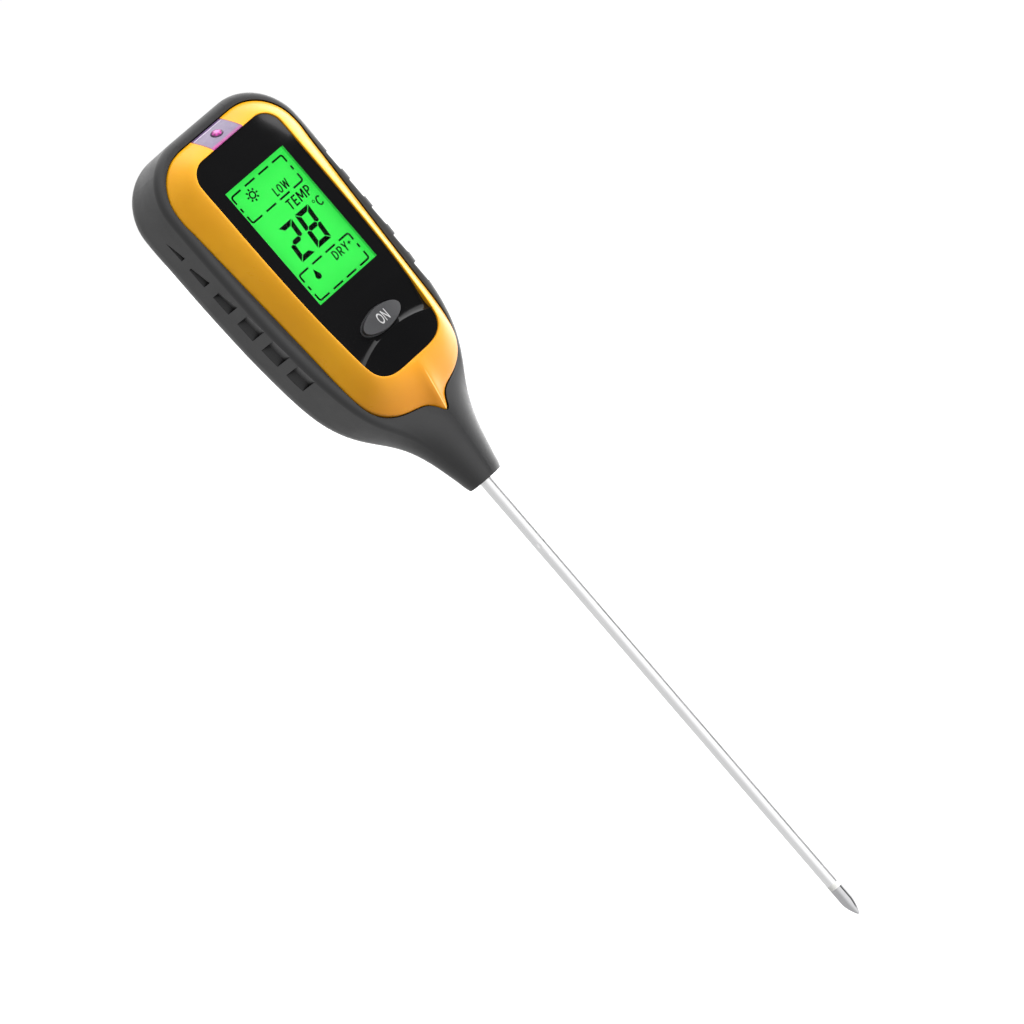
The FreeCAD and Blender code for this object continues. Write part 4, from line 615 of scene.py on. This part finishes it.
class Sheet:
    """Flat marks drawn in x and z (mm), turned into thin solid geometry."""

    def __init__(self):
        self.bm = bmesh.new()

    def points(self, points):
        return [self.bm.verts.new((x * MM, 0, z * MM)) for x, z in points]

    def poly(self, points):
        self.bm.faces.new(self.points(points))

    def stroke(self, path, width, close=False):
        """A strip of even width along a path."""
        left, right = [], []
        count = len(path)
        for i, (x, z) in enumerate(path):
            if close:
                before, after = path[(i - 1) % count], path[(i + 1) % count]
            else:
                before, after = path[max(i - 1, 0)], path[min(i + 1, count - 1)]
            dx, dz = after[0] - before[0], after[1] - before[1]
            length = math.hypot(dx, dz)
            nx, nz = -dz / length * width / 2, dx / length * width / 2
            left.append((x + nx, z + nz))
            right.append((x - nx, z - nz))
        left, right = self.points(left), self.points(right)
        for i in range(count if close else count - 1):
            j = (i + 1) % count
            self.bm.faces.new((left[i], right[i], right[j], left[j]))

    def text(self, body, x0, x1, z0, z1, weight):
        """Text in the built-in font, stretched to fill a box."""
        curve = bpy.data.curves.new("lettering", "FONT")
        curve.body = body
        curve.fill_mode = "FRONT"
        curve.resolution_u = 6
        curve.offset = weight
        curve.space_character = 1.06
        source = link("lettering", curve)
        bpy.context.view_layer.update()
        graph = bpy.context.evaluated_depsgraph_get()
        mesh = bpy.data.meshes.new_from_object(source.evaluated_get(graph))
        xs = [v.co.x for v in mesh.vertices]
        ys = [v.co.y for v in mesh.vertices]
        left, low = min(xs), min(ys)
        scale_x, scale_z = (x1 - x0) / (max(xs) - left), (z1 - z0) / (max(ys) - low)
        verts = self.points([(x0 + (x - left) * scale_x, z0 + (y - low) * scale_z)
                             for x, y in zip(xs, ys)])
        for p in mesh.polygons:
            # guards against a face repeated in the font's filled mesh
            try:
                self.bm.faces.new([verts[i] for i in p.vertices])
            except ValueError:
                pass
        bpy.data.objects.remove(source)
        bpy.data.meshes.remove(mesh)

    def cut(self, cell):
        """Cut the sheet into a grid, so that it can follow a curved face."""
        bm = self.bm
        for axis in (0, 2):
            normal = Vector((0, 0, 0))
            normal[axis] = 1
            places = [v.co[axis] for v in bm.verts]
            place, end = min(places) + cell, max(places)
            while place < end:
                bmesh.ops.bisect_plane(bm, geom=bm.verts[:] + bm.edges[:] + bm.faces[:],
                                       plane_co=normal * place, plane_no=normal)
                place += cell

    def thicken(self, thick):
        """Add a front copy towards -y and close the rim."""
        bm = self.bm
        copy = bmesh.ops.duplicate(bm, geom=bm.verts[:] + bm.edges[:] + bm.faces[:])
        copied = set(copy["geom"])
        twin = copy["vert_map"]
        back_faces = [f for f in bm.faces if f not in copied]
        for item in copy["geom"]:
            if isinstance(item, bmesh.types.BMVert):
                item.co.y -= thick
        rim = [e for f in back_faces for e in f.edges if len(e.link_faces) == 1]
        for edge in rim:
            a, b = edge.verts
            # guards against two rim edges lying between the same points
            try:
                bm.faces.new((a, b, twin[b], twin[a]))
            except ValueError:
                pass
        bmesh.ops.reverse_faces(bm, faces=back_faces)
        bmesh.ops.recalc_face_normals(bm, faces=bm.faces)

    def finish(self, name, y, material_name, body, thick=0.035 * MM, lift=0.02 * MM,
               drape=None, cell=None):
        """Lay the sheet at y, or on the drape, and make it a thin solid lifted towards -y."""
        bm = self.bm
        bmesh.ops.remove_doubles(bm, verts=bm.verts, dist=0.002 * MM)
        if cell:
            self.cut(cell)
        for f in bm.faces:
            f.normal_update()
            if f.normal.y > 0:
                f.normal_flip()
        for v in bm.verts:
            v.co.y = y
            if drape is not None:
                hit = drape.ray_cast(Vector((v.co.x, -0.05, v.co.z)), Vector((0, 1, 0)))[0]
                if hit is not None:
                    v.co.y = hit.y
            v.co.y -= lift
        self.thicken(thick)
        marks = mesh_object(name, bm, material_name)
        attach(marks, body)


# ------------------------------------------------------------------ display frames and icons
GLASS_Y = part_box("lcd_glass")[0].y

# x0, x1, z0, z1 of the two dashed frames
FRAMES = ((-12.6, 12.5, 113.5, 124.3), (-12.35, 12.4, 80.25, 90.9))
FRAME_STROKE, FRAME_CORNER = 0.66, 0.8
SUN_X, SUN_Z = -5.75, 120.55
DROP_X, DROP_Z = -6.7, 86.75
# x sign, z sign, start angle, end angle
CORNERS = ((-1, 1, 180, 90), (1, 1, 0, 90), (-1, -1, 180, 270), (1, -1, 0, -90))


def dashed_frame(sheet, x0, x1, z0, z1):
    """A rounded frame: four corners, two dashes on each long side, one on each short side."""
    width, height, r = x1 - x0, z1 - z0, FRAME_CORNER
    arm_x, arm_z = 0.185 * width, 0.265 * height
    for sx, sz, start, end in CORNERS:
        edge_x, edge_z = (x0 if sx < 0 else x1), (z1 if sz > 0 else z0)
        bend = arc(edge_x - sx * r, edge_z - sz * r, r, start, end)
        path = [(edge_x, edge_z - sz * arm_z)] + bend + [(edge_x - sx * arm_x, edge_z)]
        sheet.stroke(path, FRAME_STROKE)
    for k in (0, 1):
        a, b = x0 + width * (0.272 + 0.270 * k), x0 + width * (0.462 + 0.270 * k)
        for z in (z1, z0):
            sheet.stroke([(a, z), (b, z)], FRAME_STROKE)
    middle, half_dash = (z0 + z1) / 2, 0.075 * height
    for x in (x0, x1):
        sheet.stroke([(x, middle + half_dash), (x, middle - half_dash)], FRAME_STROKE)


def sun(sheet):
    """A ring with eight rays."""
    sheet.stroke(arc(SUN_X, SUN_Z, 1.12, 0, 360, 28)[:-1], 0.55, close=True)
    for k in range(8):
        c, s = math.cos(math.radians(45 * k)), math.sin(math.radians(45 * k))
        sheet.stroke([(SUN_X + 1.58 * c, SUN_Z + 1.58 * s),
                      (SUN_X + 2.35 * c, SUN_Z + 2.40 * s)], 0.60)


def drop(sheet):
    """A round drop with its point up."""
    sheet.poly(arc(DROP_X, DROP_Z, 1.15, -220, 40, 32) + [(DROP_X - 0.05, DROP_Z + 2.75)])


marks = Sheet()
for frame in FRAMES:
    dashed_frame(marks, *frame)
sun(marks)
drop(marks)
marks.finish("display_marks", GLASS_Y, "display_dark", "meter")

# ------------------------------------------------------------------ display lettering
# letter widths and the gap between letters, relative to one another
WIDTHS = {"L": 0.72, "O": 1.0, "W": 1.45, "T": 0.84, "E": 0.74, "M": 1.18, "P": 0.80,
          "D": 0.88, "R": 0.86, "Y": 0.92, "+": 0.56, "C": 0.95}
LETTER_GAP = 0.24
LETTER_LEAN = math.tan(math.radians(3.0))
# text, x0, x1, z0, z1, stroke
WORDS = (
    ("LOW", 1.0, 7.6, 114.75, 118.0, 0.46),
    ("TEMP", 1.6, 12.3, 108.3, 112.0, 0.56),
    ("DRY+", 2.3, 10.9, 86.5, 89.8, 0.48),
    ("C", 10.9, 13.5, 103.2, 106.8, 0.54),
)


def letter(sheet, char, left, low, W, H, t):
    """One letter, W wide and H high, of straight bars and bowls of thickness t."""
    h = t / 2

    def lean(points):
        return [(left + x + z * LETTER_LEAN, low + z) for x, z in points]

    def bar(xa, za, xb, zb):
        sheet.poly(lean([(xa, za), (xb, za), (xb, zb), (xa, zb)]))

    def slash(xa, za, xb, zb):
        k = h * math.hypot(xb - xa, zb - za) / abs(zb - za)
        sheet.poly(lean([(xa - k, za), (xa + k, za), (xb + k, zb), (xb - k, zb)]))

    def bowl(cx, cz, rx, rz, start, end, lead=(), tail=(), close=False):
        path = ellipse(cx, cz, rx, rz, start, end, 20)
        if close:
            path.pop()
        sheet.stroke(lean([*lead, *path, *tail]), t, close)

    if char == "T":
        bar(W / 2 - h, 0, W / 2 + h, H)
        bar(0, H - t, W, H)
    elif char in "LEPDRM":
        bar(0, 0, t, H)
    if char == "L":
        bar(0, 0, W, t)
    if char == "E":
        for z, reach in ((0, W), (H / 2 - h, W * 0.88), (H - t, W)):
            bar(0, z, reach, z + t)
    if char == "M":
        bar(W - t, 0, W, H)
        slash(h * 1.4, H, W / 2, H * 0.22)
        slash(W - h * 1.4, H, W / 2, H * 0.22)
    if char in "PR":
        q = H * 0.27 - h * 0.3
        bowl(W - h - q, H - h - q, q, q, 90, -90, lead=[(h, H - h)], tail=[(h, H - h - 2 * q)])
    if char == "R":
        slash(W * 0.46, H * 0.46, W - h * 1.1, 0)
    if char == "D":
        q = H / 2 - h
        bowl(W - h - q * 0.8, H / 2, q * 0.8, q, 90, -90, lead=[(h, H - h)], tail=[(h, h)])
    if char == "O":
        bowl(W / 2, H / 2, W / 2 - h, H / 2 - h, 0, 360, close=True)
    if char == "C":
        bowl(W / 2, H / 2, W / 2 - h, H / 2 - h, 42, 318)
    if char == "W":
        slash(h, H, W * 0.27, 0)
        slash(W / 2, H * 0.92, W * 0.27, 0)
        slash(W / 2, H * 0.92, W * 0.73, 0)
        slash(W - h, H, W * 0.73, 0)
    if char == "Y":
        slash(h, H, W / 2, H * 0.44)
        slash(W - h, H, W / 2, H * 0.44)
        bar(W / 2 - h, 0, W / 2 + h, H * 0.48)
    if char == "+":
        bar(0, H * 0.56 - h * 0.8, W, H * 0.56 + h * 0.8)
        bar(W / 2 - h * 0.8, H * 0.56 - W / 2, W / 2 + h * 0.8, H * 0.56 + W / 2)


def word(sheet, chars, x0, x1, z0, z1, stroke):
    total = sum(WIDTHS[c] for c in chars) + LETTER_GAP * (len(chars) - 1)
    unit, x = (x1 - x0) / total, x0
    for char in chars:
        width = WIDTHS[char] * unit
        letter(sheet, char, x, z0, width, z1 - z0, stroke)
        x += width + LETTER_GAP * unit


words = Sheet()
for entry in WORDS:
    word(words, *entry)
# degree ring before the C
words.stroke(arc(10.2, 106.0, 0.42, 0, 360, 20)[:-1], 0.24, close=True)
words.finish("display_words", GLASS_Y, "display_dark", "meter")

# ------------------------------------------------------------------ display digits
DIGIT_LOW, DIGIT_HEIGHT, DIGIT_STROKE = 93.4, 13.2, 1.75
DIGIT_GAP = 0.17
DIGIT_LEAN = math.tan(math.radians(5.5))
# segments, left x, width
DIGITS = (("abged", -8.1, 6.4), ("abcdefg", 0.0, 6.7))


def digit(sheet, segments, left, W):
    """Seven-segment digit: a top, b c right, d bottom, e f left, g middle."""
    H, t, g = DIGIT_HEIGHT, DIGIT_STROKE, DIGIT_GAP
    h = H / 2
    shapes = {
        "a": [(g, H), (W - g, H), (W - t - g * 0.4, H - t), (t + g * 0.4, H - t)],
        "d": [(t + g * 0.4, t), (W - t - g * 0.4, t), (W - g, 0), (g, 0)],
        "g": [(t * 0.62 + g, h), (t + g, h + t / 2), (W - t - g, h + t / 2),
              (W - t * 0.62 - g, h), (W - t - g, h - t / 2), (t + g, h - t / 2)],
        "f": [(0, H - g * 1.6), (t, H - t - g * 1.4), (t, h + t / 2 + g * 0.6),
              (t * 0.55, h + g * 0.9), (0, h + g * 2.2)],
        "b": [(W, H - g * 1.6), (W, h + g * 2.2), (W - t * 0.55, h + g * 0.9),
              (W - t, h + t / 2 + g * 0.6), (W - t, H - t - g * 1.4)],
        "e": [(0, h - g * 2.2), (t * 0.55, h - g * 0.9), (t, h - t / 2 - g * 0.6),
              (t, t + g * 1.4), (0, g * 1.6)],
        "c": [(W, h - g * 2.2), (W, g * 1.6), (W - t, t + g * 1.4),
              (W - t, h - t / 2 - g * 0.6), (W - t * 0.55, h - g * 0.9)],
    }
    for segment in segments:
        sheet.poly([(left + x + z * DIGIT_LEAN, DIGIT_LOW + z) for x, z in shapes[segment]])


digits = Sheet()
for entry in DIGITS:
    digit(digits, *entry)
digits.finish("display_digits", GLASS_Y, "display_dark", "meter", lift=0.015 * MM)

# ------------------------------------------------------------------ key lettering
KEY_Z = 63.0


def surface_tree(piece):
    """A ray-cast tree of a piece, in world space."""
    bm = bmesh.new()
    bm.from_mesh(piece.data)
    bm.transform(piece.matrix_world)
    tree = BVHTree.FromBMesh(bm)
    bm.free()
    return tree


letters = Sheet()
letters.text("ON", -2.2, 2.2, KEY_Z - 1.9, KEY_Z + 2.0, weight=0.004)
letters.finish("key_letters", 0.0, "key_print", "power_key", thick=0.05 * MM, lift=0.0,
               drape=surface_tree(NODES["power_button"]), cell=0.5 * MM)

# ------------------------------------------------------------------ camera
AZIMUTH, ELEVATION, ROLL = (math.radians(d) for d in (-30.85, 4.0, 40.69))
DISTANCE = 1.8648
LENS, SENSOR = 199.23046875, 36.0  # mm
AIM_RIGHT, AIM_UP = 0.0047008999, -0.0058584789  # tangents of the aim's offset from the origin

# view axes: towards the camera, and the picture's right and up
back = Vector((math.sin(AZIMUTH) * math.cos(ELEVATION),
               -math.cos(AZIMUTH) * math.cos(ELEVATION), math.sin(ELEVATION)))
level_right = Vector((math.cos(AZIMUTH), math.sin(AZIMUTH), 0))
level_up = back.cross(level_right)
level_up.normalize()
right = math.cos(ROLL) * level_right - math.sin(ROLL) * level_up
up = math.sin(ROLL) * level_right + math.cos(ROLL) * level_up
eye = back * DISTANCE


def place_camera():
    forward = -back + right * AIM_RIGHT + up * AIM_UP
    forward.normalize()
    z_axis = -forward
    x_axis = (right - z_axis * right.dot(z_axis)).normalized()
    y_axis = z_axis.cross(x_axis)
    data = bpy.data.cameras.new("camera")
    data.lens = LENS
    data.sensor_width = SENSOR
    data.clip_start, data.clip_end = 0.05, 200.0
    camera = link("camera", data)
    columns = zip(x_axis, y_axis, z_axis, eye)
    camera.matrix_world = Matrix((*columns, (0, 0, 0, 1)))
    bpy.context.scene.camera = camera


place_camera()


# ------------------------------------------------------------------ floor and reflector
@material
def floor_pale(m):
    """Pale floor with a little glow of its own."""
    m.surface(Base_Color=m.mix(m.cloud(6, detail=4), (0.90, 0.90, 0.90, 1),
                               (0.92, 0.92, 0.915, 1)),
              Roughness=m.cloud(20, to=(0.55, 0.65)), Specular_IOR_Level=0.1,
              Emission_Color=WHITE, Emission_Strength=0.42)


bm = bmesh.new()
bmesh.ops.create_grid(bm, x_segments=24, y_segments=24, size=60.0)
floor = mesh_object("floor", bm, "floor_pale")
floor.location = (0, 0, CAD_BOX[0].z - 0.2 * MM)
floor.visible_diffuse = False
floor.visible_glossy = False


@material
def reflector_glow(m):
    m.surface(Base_Color=(0, 0, 0, 1), Roughness=m.cloud(40, to=(0.9, 1.0), detail=2),
              Emission_Color=(1, 0.99, 1, 1),
              Emission_Strength=m.cloud(30, to=(3.0, 3.6), detail=2))


# x, z outline (mm) of the reflection on the panel, in its upper right corner
REFLECTION = ((14.2, 138.9), (18.0, 138.2), (20.9, 135.2), (21.4, 129.0),
              (20.9, 125.6), (18.6, 127.6), (17.3, 131.6), (15.6, 135.4))
PANEL_Y = -16.5
CARD_DISTANCE = 0.20


def reflector():
    """A small bright card, seen only as a soft reflection in the panel."""
    bm = bmesh.new()
    corners = []
    for x, z in REFLECTION:
        point = Vector(mm(x, PANEL_Y, z))
        ray = (point - eye).normalized()
        ray.y = -ray.y
        corners.append(bm.verts.new(point + ray * CARD_DISTANCE))
    bm.faces.new(corners)
    card = mesh_object("reflector", bm, "reflector_glow")
    card.visible_camera = False
    card.visible_diffuse = False
    card.visible_shadow = False
    card.visible_transmission = False


reflector()


# ------------------------------------------------------------------ world
def studio():
    """A pale room that looks different to diffuse, mirrored and camera rays."""
    world = bpy.data.worlds.new("studio")
    bpy.context.scene.world = world
    room = Graph(world, "ShaderNodeOutputWorld")
    incoming = room.node("ShaderNodeNewGeometry").outputs["Incoming"]

    def toward(direction):
        """Cosine between the ray and a direction."""
        return room.dot(incoming, tuple(-Vector(direction).normalized()))

    def fade(value, over, to=(0.0, 1.0)):
        return room.span(value, over, to, smooth=True)

    def background(strength):
        node = room.node("ShaderNodeBackground", Color=WHITE, Strength=strength)
        return node.outputs[0]

    def choose(test, otherwise, chosen):
        node = room.node("ShaderNodeMixShader")
        for socket, value in zip(node.inputs, (test, otherwise, chosen)):
            room.put(socket, value)
        return node.outputs[0]

    # light on surfaces is brighter from the picture's upper right
    light = fade(toward(up * 0.80 + right * 0.60), over=(-0.75, 0.85), to=(0.08, 1.70))

    # mirrored light is a wide white surround, dark only where the flat face mirrors it
    mirror = Vector((-back.x, back.y, -back.z))
    sideways = Vector((mirror.y, -mirror.x, 0)).normalized()
    rise = room.add(toward((0, 0, 1)), -mirror.normalized().z)
    off_side = fade(room.math("ABSOLUTE", toward(sideways)), over=(0.11, 0.27))
    off_height = fade(room.math("ABSOLUTE", rise), over=(0.50, 0.80))
    off_mirror = fade(toward(mirror), over=(0.20, 0.40), to=(1.0, 0.0))
    clear = room.larger(room.larger(off_side, off_height), off_mirror)
    shine = fade(toward(right * 0.8 + up * 0.6), over=(-0.7, 0.35), to=(0.78, 1.45))
    shine = room.mul(shine, fade(clear, over=(0.0, 1.0), to=(0.05, 1.0)))
    # two brighter patches: beyond the meter to the right, and overhead
    beyond = toward(-back * 0.80 + right * 0.58 + up * 0.15)
    shine = room.add(shine, fade(beyond, over=(0.60, 0.97), to=(0.0, 1.8)))
    overhead = toward(-back * 0.35 - right * 0.25 + up * 0.90)
    shine = room.add(shine, fade(overhead, over=(0.66, 0.97), to=(0.0, 0.9)))

    ray = room.node("ShaderNodeLightPath").outputs
    seen = choose(ray["Is Glossy Ray"], background(light), background(shine))
    room.show(choose(ray["Is Camera Ray"], seen, background(1.02)))


studio()

# ------------------------------------------------------------------ lamps
CENTRE = Vector((0, 0, 0.085))


def softbox(name, direction, distance, size, power):
    """A rectangular lamp aimed at the centre, hidden from reflections."""
    direction = direction.normalized()
    data = bpy.data.lights.new(name, "AREA")
    data.shape = "RECTANGLE"
    data.size, data.size_y = size
    data.energy = power
    lamp = link(name, data)
    lamp.location = CENTRE + direction * distance
    lamp.rotation_mode = "QUATERNION"
    lamp.rotation_quaternion = (-direction).to_track_quat("-Z", "Y")
    lamp.visible_glossy = False


softbox("key_light", up * 0.85 + right * 0.30 + back * 0.35,
        distance=1.1, size=(0.9, 0.9), power=7.5)
softbox("fill_light", -right * 0.9 + up * 0.15 + back * 0.5,
        distance=1.2, size=(0.8, 1.0), power=0.5)
softbox("rim_light", right * 1.0 + back * 0.15 + up * 0.25,
        distance=1.0, size=(0.5, 1.0), power=7.0)
softbox("back_light", Vector((0.4, 1.0, 0.5)), distance=1.3, size=(0.9, 0.9), power=3.0)

bpy.context.scene.view_settings.view_transform = "Standard"
bpy.context.scene.view_settings.look = "None"
